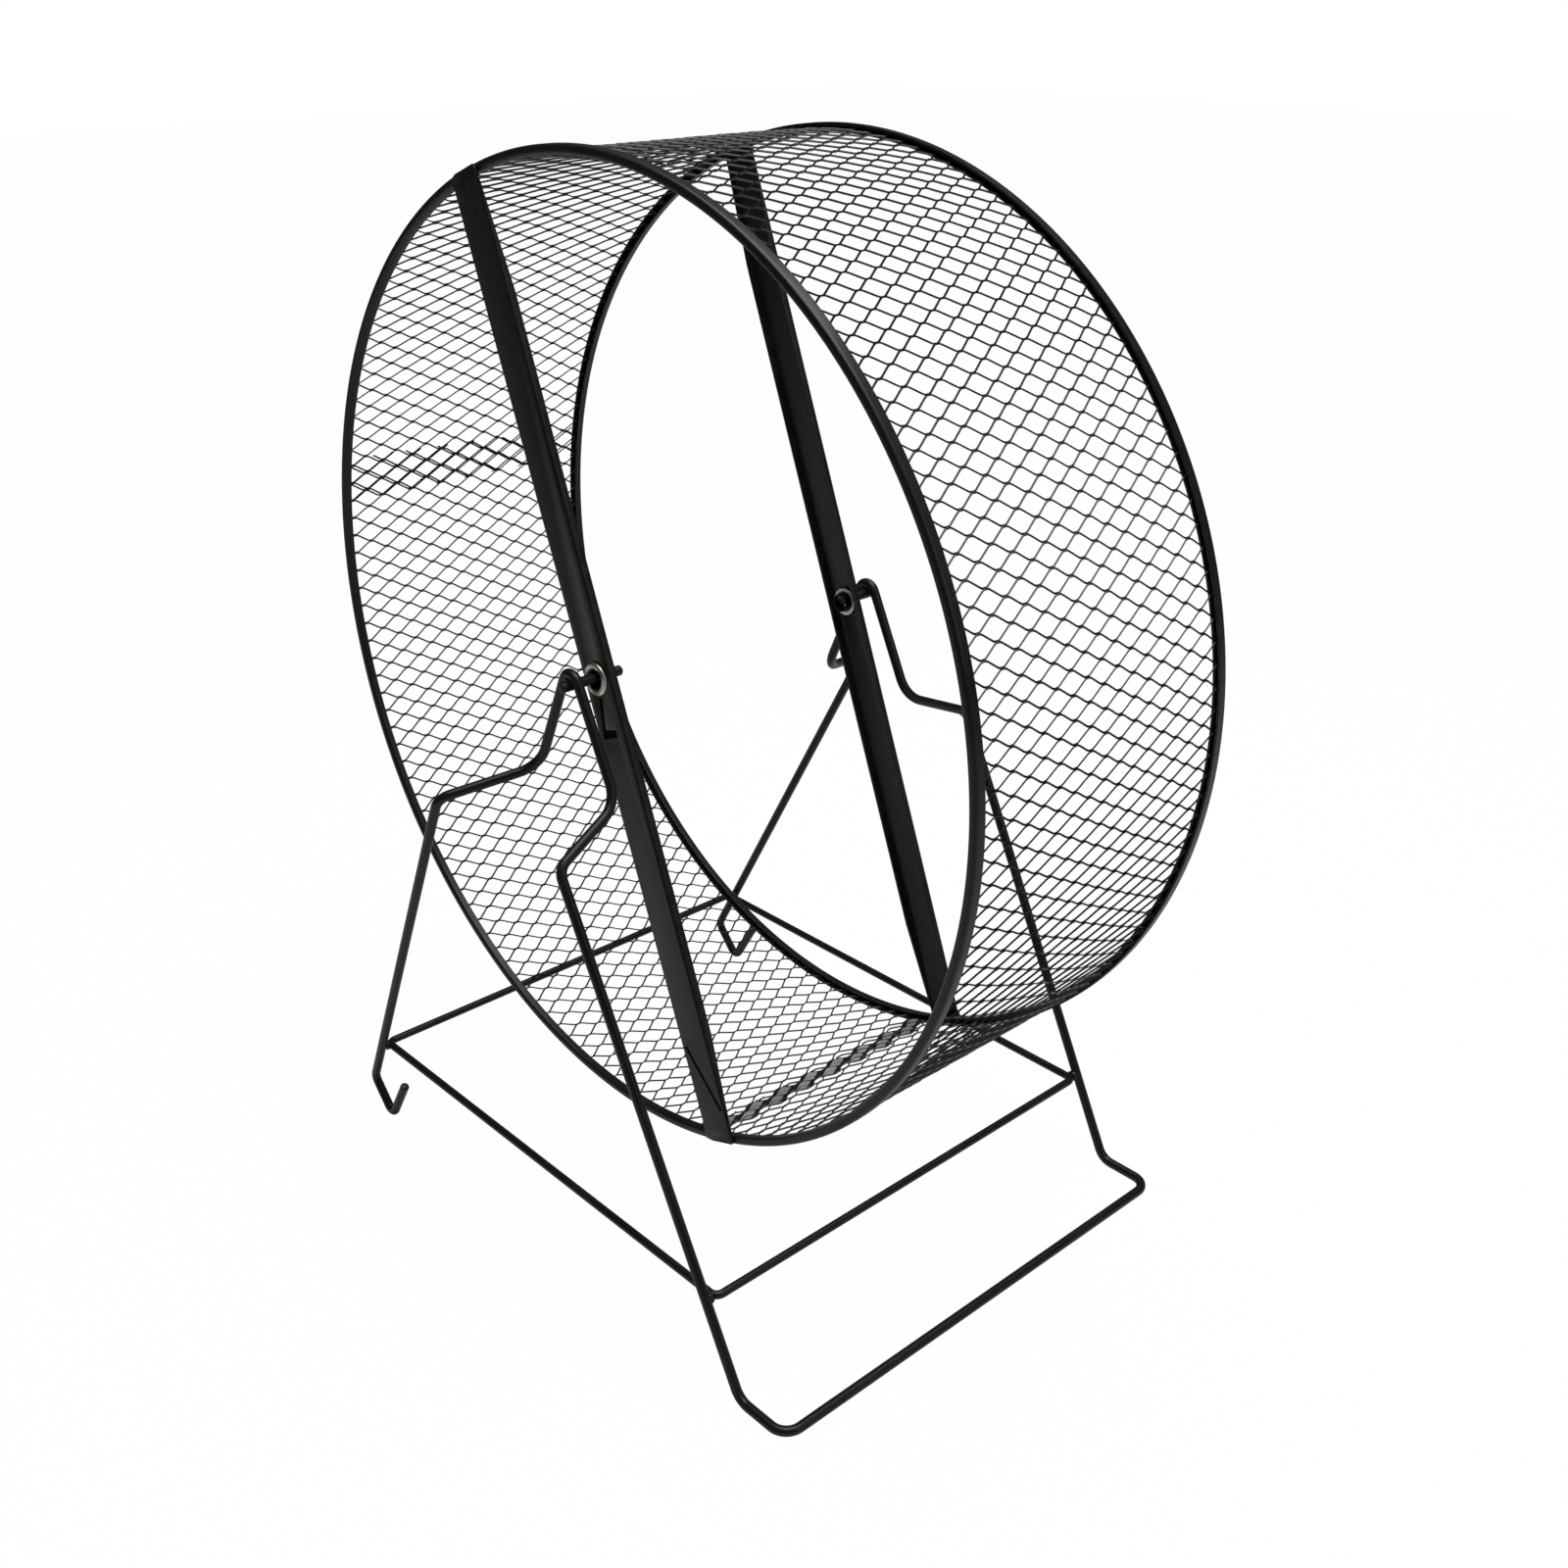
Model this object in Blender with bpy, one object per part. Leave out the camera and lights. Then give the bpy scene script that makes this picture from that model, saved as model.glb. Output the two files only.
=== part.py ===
"""Wire hamster wheel on a bent wire stand.

The drum is two panels of expanded mesh clamped between two rolled rims. A folded strap crosses each side of
it and carries an eyelet, which turns on a short pin under the top bend of the stand.

The origin is on the floor under the middle of the wheel. X runs from the hooks to the foot bar, Y along the
axle from the front to the back, and Z up. Each half of the stand and each side piece of the drum is drawn on
the back, at +Y, and mirrored to the front.
"""
import math

import bmesh
import bpy
from mathutils import Quaternion, Vector

MM = 0.001

# Gaps and cuts
CLEARANCE = 0.3 * MM
CUT_OVERRUN = 1.0 * MM

# Rolled rims, a channel that is closed on the outside and takes the edge of the mesh
RIM_RADIUS = 140.0 * MM
RIM_SPACING = 93.0 * MM
RIM_WIDTH = 3.2 * MM
RIM_WALL = 0.65 * MM
RIM_CORNER = 1.0 * MM
RIM_INNER_LIP_SETBACK = 0.5 * MM

# Expanded mesh, drawn coarser than the real one
MESH_SHEET = 0.8 * MM
MESH_STRAND = 1.4 * MM
MESH_SELVEDGE = 1.5 * MM
CELLS_AROUND = 48
SHORT_PANEL_CELLS = 16
HALF_ROWS = 5
SHORT_PANEL_START_DEG = 167.5

# Spoke straps, one folded sheet across the whole wheel with flat ends on the rim
STRAP_WIDTH = 12.0 * MM
STRAP_SHEET = 0.8 * MM
STRAP_FLANGE = 2.0 * MM
STRAP_LEAN_DEG = 20.2
STRAP_FLANGE_SETBACK = 4.65 * MM
STRAP_END_SETBACK = 0.35 * MM

# Axle pins and the eyelets that turn on them
PIN_RADIUS = 1.5 * MM
PIN_CHAMFER = 0.3 * MM
PIN_OVERHANG = 1.5 * MM
FRONT_PIN_INSIDE = 8.5 * MM
BACK_PIN_INSIDE = 2.2 * MM
BORE_PLAY = 0.8 * MM
EYELET_SHEET = 0.6 * MM
EYELET_FLANGE_RADIUS = 4.9 * MM
EYELET_CLINCH_RADIUS = 4.4 * MM
EYELET_ROUND = 0.25 * MM

# Stand wire: heights from the floor or drops from the axle, reaches outwards from the neck
WIRE_RADIUS = 1.5 * MM
FLOOR_GAP = 40.35 * MM
NECK_GAP = 6.2 * MM
NECK_LEAN_DEG = 25.4
NECK_DROP = 29.8 * MM
SHOULDER_LEFT_X = -30.0 * MM
SHOULDER_LEFT_DROP = 35.6 * MM
SHOULDER_LEFT_REACH = 28.2 * MM
SHOULDER_RIGHT_X = 22.8 * MM
SHOULDER_RIGHT_DROP = 40.0 * MM
SHOULDER_RIGHT_REACH = 23.7 * MM
FOOT_KINK_X = 92.0 * MM
FOOT_BAR_X = 110.6 * MM
FOOT_REACH = 22.4 * MM
HOOK_TOE_X = -93.8 * MM
HOOK_REACH = 21.5 * MM
HOOK_HEEL_RUN = 15.1 * MM
HOOK_HEEL_DEG = 49.0
HOOK_TIP_RUN = 20.5 * MM
HOOK_TIP_DEG = 58.0

# Bend radii of the stand wire, to its middle
APEX_BEND = 3.5 * MM
NECK_BEND = 7.5 * MM
SHOULDER_BEND = 5.0 * MM
FOOT_BEND = 5.5 * MM
HEEL_BEND = 3.5 * MM
TOE_BEND = 2.75 * MM

# Brace loop
BRACE_RADIUS = 1.25 * MM
BRACE_HEIGHT = 28.2 * MM
BRACE_CORNER = 2.5 * MM
BRACE_TOUCH_DEG = 20.0

# Facets
RIM_SEGMENTS = 96
EYELET_SEGMENTS = 24
PIN_SIDES = 16
WIRE_SIDES = 8
BEND_STEP_DEG = 22.5
SHARP_EDGE_DEG = 40.0

# Finishes: colour, roughness, metallic
SATIN_BLACK = ((0.012, 0.012, 0.013, 1.0), 0.38, 0.0)
BRIGHT_ZINC = ((0.62, 0.56, 0.48, 1.0), 0.28, 1.0)


# Sizes that several pieces share

def rim_thickness():
    """Radial thickness of the rolled rim: the mesh with a gap on each side, between two walls."""
    return MESH_SHEET + 2 * CLEARANCE + 2 * RIM_WALL


def drum_radius():
    return RIM_RADIUS + rim_thickness() / 2


def axle_height():
    return drum_radius() + FLOOR_GAP


def rim_face():
    """Outer face of the back rim, along Y."""
    return RIM_SPACING / 2 + RIM_WIDTH / 2


def strap_back():
    return rim_face() + CLEARANCE


def strap_face():
    return strap_back() + STRAP_SHEET


def eyelet_face():
    return strap_face() + CLEARANCE + EYELET_SHEET


def eyelet_bore():
    return PIN_RADIUS + BORE_PLAY


def pin_rise():
    """How far the pin's middle stands above the wheel's: the eyelet hangs on it."""
    return eyelet_bore() - PIN_RADIUS - CLEARANCE


def neck_side():
    """Y of the middle of the neck wire at the back."""
    return eyelet_face() + NECK_GAP + WIRE_RADIUS


def foot_bar_height():
    """The bar lies on a flat of the eight-sided wire."""
    return WIRE_RADIUS * math.cos(math.pi / WIRE_SIDES)


# Mesh helpers

def skin(rings, closed):
    """Closed surface over rings of points; open stacks get a face at each end."""
    bm = bmesh.new()
    loops = [[bm.verts.new(point) for point in ring] for ring in rings]
    pairs = list(zip(loops, loops[1:]))
    if closed:
        pairs.append((loops[-1], loops[0]))
    else:
        bm.faces.new(loops[0][::-1])
        bm.faces.new(loops[-1])
    for first, second in pairs:
        for i in range(len(first)):
            j = (i + 1) % len(first)
            bm.faces.new((first[i], first[j], second[j], second[i]))
    if bm.calc_volume(signed=True) < 0:
        bmesh.ops.reverse_faces(bm, faces=bm.faces)
    return bm


def around_axle(radius, y, segments, height=0.0):
    """Circle of points about a line along Y at a height."""
    angles = [2 * math.pi * i / segments for i in range(segments)]
    return [(radius * math.cos(angle), y, height + radius * math.sin(angle)) for angle in angles]


def turned(section, segments):
    """Ring about the Y axis from a closed section of (radius, y) points."""
    return skin([around_axle(radius, y, segments) for radius, y in section], closed=True)


def mirrored_to_front(bm):
    bmesh.ops.scale(bm, vec=(1, -1, 1), verts=bm.verts)
    bmesh.ops.reverse_faces(bm, faces=bm.faces)
    return bm


def bent_path(corners):
    """Points along straight runs whose corners are (place, bend radius), each bend as an arc."""
    points = [corners[0][0]]
    for before, (corner, radius), after in zip(corners, corners[1:], corners[2:]):
        points.extend(bend(before[0], corner, after[0], radius))
    points.append(corners[-1][0])
    return points


def bend(before, corner, after, radius):
    """Points of the arc that rounds one corner."""
    back = (before - corner).normalized()
    onward = (after - corner).normalized()
    half = back.angle(onward) / 2
    centre = corner + (back + onward).normalized() * (radius / math.sin(half))
    start = corner + back * (radius / math.tan(half))
    turn = math.pi - 2 * half
    steps = max(2, math.ceil(turn / math.radians(BEND_STEP_DEG)))
    axis = back.cross(start - centre)
    return [centre + Quaternion(axis, turn * i / steps) @ (start - centre) for i in range(steps + 1)]


def tube_rings(points, radius, across, closed=False):
    """Rings of a wire along the points; across is square to its first run and has a flat face."""
    count = len(points)
    tangents = []
    for i in range(count):
        last = points[i - 1] if closed else points[max(i - 1, 0)]
        following = points[(i + 1) % count] if closed else points[min(i + 1, count - 1)]
        tangents.append((following - last).normalized())
    rings = []
    for i, point in enumerate(points):
        if i:
            across = tangents[i - 1].rotation_difference(tangents[i]) @ across
        side = tangents[i].cross(across).normalized()
        rings.append([])
        for k in range(WIRE_SIDES):
            angle = 2 * math.pi * (k + 0.5) / WIRE_SIDES
            rings[-1].append(point + radius * (math.cos(angle) * across + math.sin(angle) * side))
    return rings


def block_mesh(xs, ys, zs, filled):
    """One closed body from the filled cells of a grid of cuts along X, Y and Z."""
    bm = bmesh.new()
    corners = {}

    def corner(i, j, k):
        if (i, j, k) not in corners:
            corners[i, j, k] = bm.verts.new((xs[i], ys[j], zs[k]))
        return corners[i, j, k]

    for i, j, k in filled:
        for axis in range(3):
            for step in (0, 1):
                beside = [i, j, k]
                beside[axis] += 2 * step - 1
                if tuple(beside) in filled:
                    continue
                face = []
                for u, v in ((0, 0), (1, 0), (1, 1), (0, 1)):
                    place = [i, j, k]
                    place[axis] += step
                    place[(axis + 1) % 3] += u
                    place[(axis + 2) % 3] += v
                    face.append(corner(*place))
                bm.faces.new(face if step else face[::-1])
    return bm


# Scene helpers

def clear_scene():
    for thing in list(bpy.data.objects):
        bpy.data.objects.remove(thing, do_unlink=True)


def paint(name, finish):
    colour, roughness, metallic = finish
    material = bpy.data.materials.new(name)
    material.use_nodes = True
    shader = material.node_tree.nodes["Principled BSDF"]
    shader.inputs["Base Color"].default_value = colour
    shader.inputs["Roughness"].default_value = roughness
    shader.inputs["Metallic"].default_value = metallic
    return material


def place(name, bm, finish, carrier=None):
    """Turn a mesh into a named object with its own material, on the carrier if it has one."""
    mesh = bpy.data.meshes.new(name)
    bm.to_mesh(mesh)
    bm.free()
    mesh.shade_smooth()
    mesh.set_sharp_from_angle(angle=math.radians(SHARP_EDGE_DEG))
    mesh.materials.append(paint(name, finish))
    thing = bpy.data.objects.new(name, mesh)
    bpy.context.collection.objects.link(thing)
    thing.parent = carrier
    return thing


def wheel_axis():
    """Empty on the axle that carries every piece of the wheel."""
    axis = bpy.data.objects.new("wheel_axis", None)
    bpy.context.collection.objects.link(axis)
    axis.location.z = axle_height()
    return axis


# Drum

def rim_section():
    """Section of the back rim: its slot opens towards the middle of the wheel."""
    outer = drum_radius()
    inner = outer - rim_thickness()
    face = rim_face()
    mouth = face - RIM_WIDTH
    bevel = RIM_CORNER * (1 - math.cos(math.pi / 4))
    return [
        (outer, mouth),
        (outer, face - RIM_CORNER),
        (outer - bevel, face - bevel),
        (outer - RIM_CORNER, face),
        (inner + RIM_CORNER, face),
        (inner + bevel, face - bevel),
        (inner, face - RIM_CORNER),
        (inner, mouth + RIM_INNER_LIP_SETBACK),
        (inner + RIM_WALL, mouth + RIM_INNER_LIP_SETBACK),
        (inner + RIM_WALL, face - RIM_WALL),
        (outer - RIM_WALL, face - RIM_WALL),
        (outer - RIM_WALL, mouth),
    ]


def make_rims(axis):
    place("front_rim", mirrored_to_front(turned(rim_section(), RIM_SEGMENTS)), SATIN_BLACK, axis)
    place("back_rim", turned(rim_section(), RIM_SEGMENTS), SATIN_BLACK, axis)


class Net:
    """Sheet of crossed strands, rolled about the axle between two angles.

    Columns are half a cell apart around the drum and rows half a cell apart along the axle. Strands cross
    where column and row are both odd or both even. A plain selvedge runs along both edges.
    """

    def __init__(self, start, cells):
        self.bm = bmesh.new()
        self.columns = 2 * cells
        self.step = math.pi / CELLS_AROUND
        self.start = start
        self.edge = rim_face() - RIM_WALL - CLEARANCE
        self.border = self.edge - MESH_SELVEDGE
        self.rise = 2 * self.border / HALF_ROWS
        run = RIM_RADIUS * self.step
        slant = math.hypot(run, self.rise) * MESH_STRAND / 2
        self.half_width = slant / self.rise / RIM_RADIUS
        self.half_height = slant / run
        self.known = {}

    def vertex(self, column, y, shift=0.0):
        """Point at a column, moved around by shift, and kept clear of the neighbouring panel."""
        spare = CLEARANCE / 2 / RIM_RADIUS
        span = self.columns * self.step
        turn = min(max(column * self.step + shift, spare), span - spare)
        key = (round(turn / self.step, 6), round(y / self.rise, 6))
        if key not in self.known:
            angle = self.start + turn
            point = (RIM_RADIUS * math.cos(angle), y, RIM_RADIUS * math.sin(angle))
            self.known[key] = self.bm.verts.new(point)
        return self.known[key]

    def left(self, column, y):
        return self.vertex(column, y, -self.half_width)

    def right(self, column, y):
        return self.vertex(column, y, self.half_width)

    def below(self, column, y):
        return self.vertex(column, y - self.half_height)

    def above(self, column, y):
        return self.vertex(column, y + self.half_height)

    def face(self, *corners):
        self.bm.faces.new(corners)

    def crossing(self, column, row):
        y = row * self.rise - self.border
        corners = [self.below(column, y), self.right(column, y), self.above(column, y), self.left(column, y)]
        if row == 0:
            corners.pop(0)
        elif row == HALF_ROWS:
            corners.pop(2)
        elif column == self.columns:
            corners.pop(1)
        elif column == 0:
            corners.pop(3)
        self.face(*corners)

    def strands(self, column, row):
        """The two strands that leave a crossing towards the next column."""
        y = row * self.rise - self.border
        if row < HALF_ROWS:
            up = y + self.rise
            self.face(self.right(column, y), self.below(column + 1, up), self.left(column + 1, up),
                      self.above(column, y))
        if row > 0:
            down = y - self.rise
            self.face(self.right(column, y), self.below(column, y), self.left(column + 1, down),
                      self.above(column + 1, down))

    def selvedge(self, row):
        y = row * self.rise - self.border
        rim = self.edge if row else -self.edge
        for column in range(self.columns + 1):
            if (column + row) % 2 == 0:
                self.face(self.left(column, y), self.right(column, y), self.vertex(column, rim))
        for column in range(self.columns):
            crossed = (column + row) % 2 == 0
            near = self.right(column, y) if crossed else self.vertex(column, y)
            far = self.vertex(column + 1, y) if crossed else self.left(column + 1, y)
            self.face(near, far, self.vertex(column + 1, rim), self.vertex(column, rim))

    def sheet(self):
        for column in range(self.columns + 1):
            for row in range(column % 2, HALF_ROWS + 1, 2):
                self.crossing(column, row)
                if column < self.columns:
                    self.strands(column, row)
        self.selvedge(0)
        self.selvedge(HALF_ROWS)
        bmesh.ops.recalc_face_normals(self.bm, faces=self.bm.faces)
        return self.bm


def make_mesh_panels(axis):
    start = math.radians(SHORT_PANEL_START_DEG)
    turn = 2 * math.pi * SHORT_PANEL_CELLS / CELLS_AROUND
    panels = (
        ("short_mesh_panel", start, SHORT_PANEL_CELLS),
        ("long_mesh_panel", start + turn, CELLS_AROUND - SHORT_PANEL_CELLS),
    )
    for name, begins, cells in panels:
        panel = place(name, Net(begins, cells).sheet(), SATIN_BLACK, axis)
        wall = panel.modifiers.new("sheet", "SOLIDIFY")
        wall.thickness = MESH_SHEET
        wall.offset = 0


# Straps, eyelets and pins

def strap_mesh():
    """Shallow channel along Z whose flanges point to the middle of the wheel and stop short of the rim."""
    half = STRAP_WIDTH / 2
    flange_end = RIM_RADIUS - rim_thickness() / 2 - STRAP_FLANGE_SETBACK
    end = drum_radius() - STRAP_END_SETBACK
    xs = (-half, -half + STRAP_SHEET, half - STRAP_SHEET, half)
    ys = (strap_back() - STRAP_FLANGE, strap_back(), strap_face())
    zs = (-end, -flange_end, flange_end, end)
    web = {(i, 1, k) for i in range(3) for k in range(3)}
    flanges = {(0, 0, 1), (2, 0, 1)}
    return block_mesh(xs, ys, zs, web | flanges)


def eyelet_hole(axis):
    """Cutter for the hole that the eyelet's barrel passes through in both straps."""
    radius = eyelet_bore() + EYELET_SHEET + CLEARANCE
    end = strap_face() + CUT_OVERRUN
    rings = [around_axle(radius, y, EYELET_SEGMENTS) for y in (-end, end)]
    cutter = place("eyelet_hole", skin(rings, closed=False), BRIGHT_ZINC, axis)
    cutter.hide_render = True
    cutter.display_type = "WIRE"
    return cutter


def make_straps(axis):
    cutter = eyelet_hole(axis)
    sides = (("front_spoke_strap", mirrored_to_front(strap_mesh())), ("back_spoke_strap", strap_mesh()))
    for name, bm in sides:
        strap = place(name, bm, SATIN_BLACK, axis)
        strap.rotation_euler.y = -math.radians(STRAP_LEAN_DEG)
        hole = strap.modifiers.new("eyelet hole", "BOOLEAN")
        hole.operation = "DIFFERENCE"
        hole.solver = "EXACT"
        hole.object = cutter


def eyelet_section():
    """Section of the back eyelet: a flange on the strap's face, a barrel through it and a clinched ring."""
    bore = eyelet_bore()
    barrel = bore + EYELET_SHEET
    face = eyelet_face()
    seat = face - EYELET_SHEET
    clinch = strap_back() - CLEARANCE
    inner = clinch - EYELET_SHEET
    return [
        (bore, inner + EYELET_ROUND),
        (bore, face - EYELET_ROUND),
        (bore + EYELET_ROUND, face),
        (EYELET_FLANGE_RADIUS - EYELET_ROUND, face),
        (EYELET_FLANGE_RADIUS, face - EYELET_ROUND),
        (EYELET_FLANGE_RADIUS, seat),
        (barrel, seat),
        (barrel, clinch),
        (EYELET_CLINCH_RADIUS, clinch),
        (EYELET_CLINCH_RADIUS, inner + EYELET_ROUND),
        (EYELET_CLINCH_RADIUS - EYELET_ROUND, inner),
        (bore + EYELET_ROUND, inner),
    ]


def make_eyelets(axis):
    front = mirrored_to_front(turned(eyelet_section(), EYELET_SEGMENTS))
    place("front_hub_eyelet", front, BRIGHT_ZINC, axis)
    place("back_hub_eyelet", turned(eyelet_section(), EYELET_SEGMENTS), BRIGHT_ZINC, axis)


def pin_mesh(inside):
    """Back pin, from inside the strap's face to just past the stand's neck wire."""
    begins = strap_face() - inside
    ends = neck_side() + WIRE_RADIUS + PIN_OVERHANG
    tip = PIN_RADIUS - PIN_CHAMFER
    height = axle_height() + pin_rise()
    profile = ((tip, begins), (PIN_RADIUS, begins + PIN_CHAMFER), (PIN_RADIUS, ends - PIN_CHAMFER), (tip, ends))
    rings = [around_axle(radius, y, PIN_SIDES, height) for radius, y in profile]
    return skin(rings, closed=False)


def make_pins():
    place("front_axle_pin", mirrored_to_front(pin_mesh(FRONT_PIN_INSIDE)), SATIN_BLACK)
    place("back_axle_pin", pin_mesh(BACK_PIN_INSIDE), SATIN_BLACK)


# Stand

def apex_corner():
    """Corner above the pin whose bend lies on it."""
    pin_top = axle_height() + pin_rise() + PIN_RADIUS
    bend_middle = pin_top + CLEARANCE + WIRE_RADIUS - APEX_BEND
    corner = bend_middle + APEX_BEND / math.sin(math.radians(NECK_LEAN_DEG))
    return Vector((0, neck_side(), corner))


def neck_foot(sign):
    apex = apex_corner()
    height = axle_height() - NECK_DROP
    spread = (apex.z - height) * math.tan(math.radians(NECK_LEAN_DEG))
    return Vector((sign * spread, neck_side(), height))


def right_leg():
    """Top and bottom corners of the back leg on the foot bar's side."""
    top = Vector((SHOULDER_RIGHT_X, neck_side() + SHOULDER_RIGHT_REACH, axle_height() - SHOULDER_RIGHT_DROP))
    bottom = Vector((FOOT_KINK_X, neck_side() + FOOT_REACH, foot_bar_height()))
    return top, bottom


def hook_corners():
    """Heel, toe and tip of the back hook; the bend at the toe touches the floor."""
    heel_angle = math.radians(HOOK_HEEL_DEG)
    tip_angle = math.radians(HOOK_TIP_DEG)
    to_heel = Vector((-math.cos(heel_angle), 0, math.sin(heel_angle)))
    to_tip = Vector((math.cos(tip_angle), 0, math.sin(tip_angle)))
    half = to_heel.angle(to_tip) / 2
    middle_rise = (to_heel + to_tip).normalized().z * TOE_BEND / math.sin(half)
    toe = Vector((HOOK_TOE_X, neck_side() + HOOK_REACH, WIRE_RADIUS + TOE_BEND - middle_rise))
    return toe + to_heel * HOOK_HEEL_RUN, toe, toe + to_tip * HOOK_TIP_RUN


def left_leg():
    top = Vector((SHOULDER_LEFT_X, neck_side() + SHOULDER_LEFT_REACH, axle_height() - SHOULDER_LEFT_DROP))
    return top, hook_corners()[0]


def half_stand_path():
    """From the middle of the foot bar, up over the back pin and down to the tip of the back hook."""
    right_top, kink = right_leg()
    left_top, heel = left_leg()
    toe, tip = hook_corners()[1:]
    foot_corner = Vector((FOOT_BAR_X, kink.y, kink.z))
    return bent_path([
        (Vector((FOOT_BAR_X, 0, kink.z)), 0),
        (foot_corner, FOOT_BEND),
        (kink, FOOT_BEND),
        (right_top, SHOULDER_BEND),
        (neck_foot(1), NECK_BEND),
        (apex_corner(), APEX_BEND),
        (neck_foot(-1), NECK_BEND),
        (left_top, SHOULDER_BEND),
        (heel, HEEL_BEND),
        (toe, TOE_BEND),
        (tip, 0),
    ])


def make_stand_wire():
    """The half at the back and its mirror image share the ring in the middle of the foot bar."""
    half = tube_rings(half_stand_path(), WIRE_RADIUS, Vector((0, 0, -1)))
    front = [[Vector((p.x, -p.y, p.z)) for p in ring] for ring in half[:0:-1]]
    place("stand_wire", skin(front + half, closed=False), SATIN_BLACK)


def leg_at(leg, height):
    """Point of a straight leg at a height."""
    top, bottom = leg
    return top.lerp(bottom, (top.z - height) / (top.z - bottom.z))


def make_brace_loop():
    """Rectangle inside the four legs whose corner bends lie against them."""
    left = leg_at(left_leg(), BRACE_HEIGHT)
    right = leg_at(right_leg(), BRACE_HEIGHT)
    seat = BRACE_CORNER + BRACE_RADIUS + CLEARANCE + WIRE_RADIUS
    along = BRACE_CORNER - seat * math.sin(math.radians(BRACE_TOUCH_DEG))
    across = BRACE_CORNER - seat * math.cos(math.radians(BRACE_TOUCH_DEG))
    side = min(left.y, right.y) + across
    places = (
        (left.x - along, -side),
        (right.x + along, -side),
        (right.x + along, side),
        (left.x - along, side),
    )
    corners = [Vector((x, y, BRACE_HEIGHT)) for x, y in places]
    points = []
    for i, corner in enumerate(corners):
        points.extend(bend(corners[i - 1], corner, corners[(i + 1) % len(corners)], BRACE_CORNER))
    rings = tube_rings(points, BRACE_RADIUS, Vector((0, 0, -1)), closed=True)
    place("brace_loop", skin(rings, closed=True), SATIN_BLACK)


def main():
    clear_scene()
    axis = wheel_axis()
    make_rims(axis)
    make_mesh_panels(axis)
    make_straps(axis)
    make_eyelets(axis)
    make_pins()
    make_stand_wire()
    make_brace_loop()
    bpy.context.view_layer.update()


main()
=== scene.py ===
"""Looks of the wire hamster wheel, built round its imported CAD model.

The axle runs along Y from the front to the back, X goes from the hooks to the foot bar, and Z is up. All is
in metres. The rims, the straps and the eyelets are shaped at the back, at +Y, and mirrored to the front.
"""

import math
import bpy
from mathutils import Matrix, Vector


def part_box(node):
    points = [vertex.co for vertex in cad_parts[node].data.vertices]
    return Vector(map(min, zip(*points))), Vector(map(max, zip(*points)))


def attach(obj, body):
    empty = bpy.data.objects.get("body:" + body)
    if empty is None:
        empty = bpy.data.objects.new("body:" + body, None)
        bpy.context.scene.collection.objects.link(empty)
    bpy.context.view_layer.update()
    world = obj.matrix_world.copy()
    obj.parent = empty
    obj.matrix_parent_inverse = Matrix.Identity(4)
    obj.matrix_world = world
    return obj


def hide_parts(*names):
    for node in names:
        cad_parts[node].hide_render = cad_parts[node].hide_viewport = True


bl_info = {
    "name": "Wire Hamster Wheel",
    "version": (1, 0, 0),
    "blender": (4, 5, 0),
    "location": "3D View > Sidebar > Hamster Wheel",
    "description": "Builds the drum, the stand and the studio of a wire hamster wheel piece by piece",
    "category": "Add Mesh",
}

import bmesh
import bpy
from bpy.props import FloatProperty, FloatVectorProperty, IntProperty, PointerProperty
from mathutils import Matrix, Vector

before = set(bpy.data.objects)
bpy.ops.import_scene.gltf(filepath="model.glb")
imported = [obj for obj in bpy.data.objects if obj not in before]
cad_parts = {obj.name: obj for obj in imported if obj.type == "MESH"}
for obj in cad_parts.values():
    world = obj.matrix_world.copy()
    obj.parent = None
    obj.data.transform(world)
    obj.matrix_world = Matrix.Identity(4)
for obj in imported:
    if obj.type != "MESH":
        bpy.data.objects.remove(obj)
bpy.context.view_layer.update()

MM = 0.001
FULL_TURN = 2 * math.pi
SAME_PLACE = 0.01 * MM

# Places that the CAD model gives
RIM_LOW, RIM_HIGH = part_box("back_rim")
AXLE_HEIGHT = (RIM_LOW.z + RIM_HIGH.z) / 2
DRUM_RADIUS = (RIM_HIGH.x - RIM_LOW.x) / 2
RIM_FACE = RIM_HIGH.y
STRAP_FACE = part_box("back_spoke_strap")[1].y
EYELET_INSIDE, EYELET_FACE = (corner.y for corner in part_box("back_hub_eyelet"))
PIN_LOW, PIN_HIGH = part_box("back_axle_pin")
PIN_HEIGHT = (PIN_LOW.z + PIN_HIGH.z) / 2
FRONT_PIN_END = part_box("front_axle_pin")[1].y

# Lean of the straps from upright, top towards the hooks
STRAP_LEAN = math.radians(20.2)

# Corners of the stand wire: heights from the floor or drops from the axle, reaches outwards from the neck
NECK_SIDE = 57.8 * MM
NECK_LEAN = math.radians(25.4)
NECK_DROP = 29.8 * MM
PIN_GAP = 0.3 * MM
SHOULDER_LEFT_X = -30.0 * MM
SHOULDER_LEFT_DROP = 35.6 * MM
SHOULDER_LEFT_REACH = 28.2 * MM
SHOULDER_RIGHT_X = 22.8 * MM
SHOULDER_RIGHT_DROP = 40.0 * MM
SHOULDER_RIGHT_REACH = 23.7 * MM
FOOT_KINK_X = 92.0 * MM
FOOT_BAR_X = 110.6 * MM
FOOT_REACH = 22.4 * MM
HOOK_TOE_X = -93.8 * MM
HOOK_REACH = 21.5 * MM
HOOK_HEEL_RUN = 15.1 * MM
HOOK_HEEL_ANGLE = math.radians(49.0)
HOOK_TIP_RUN = 20.5 * MM
HOOK_TIP_ANGLE = math.radians(58.0)
BRACE_HEIGHT = 28.2 * MM
BRACE_TOUCH = math.radians(20.0)

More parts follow.
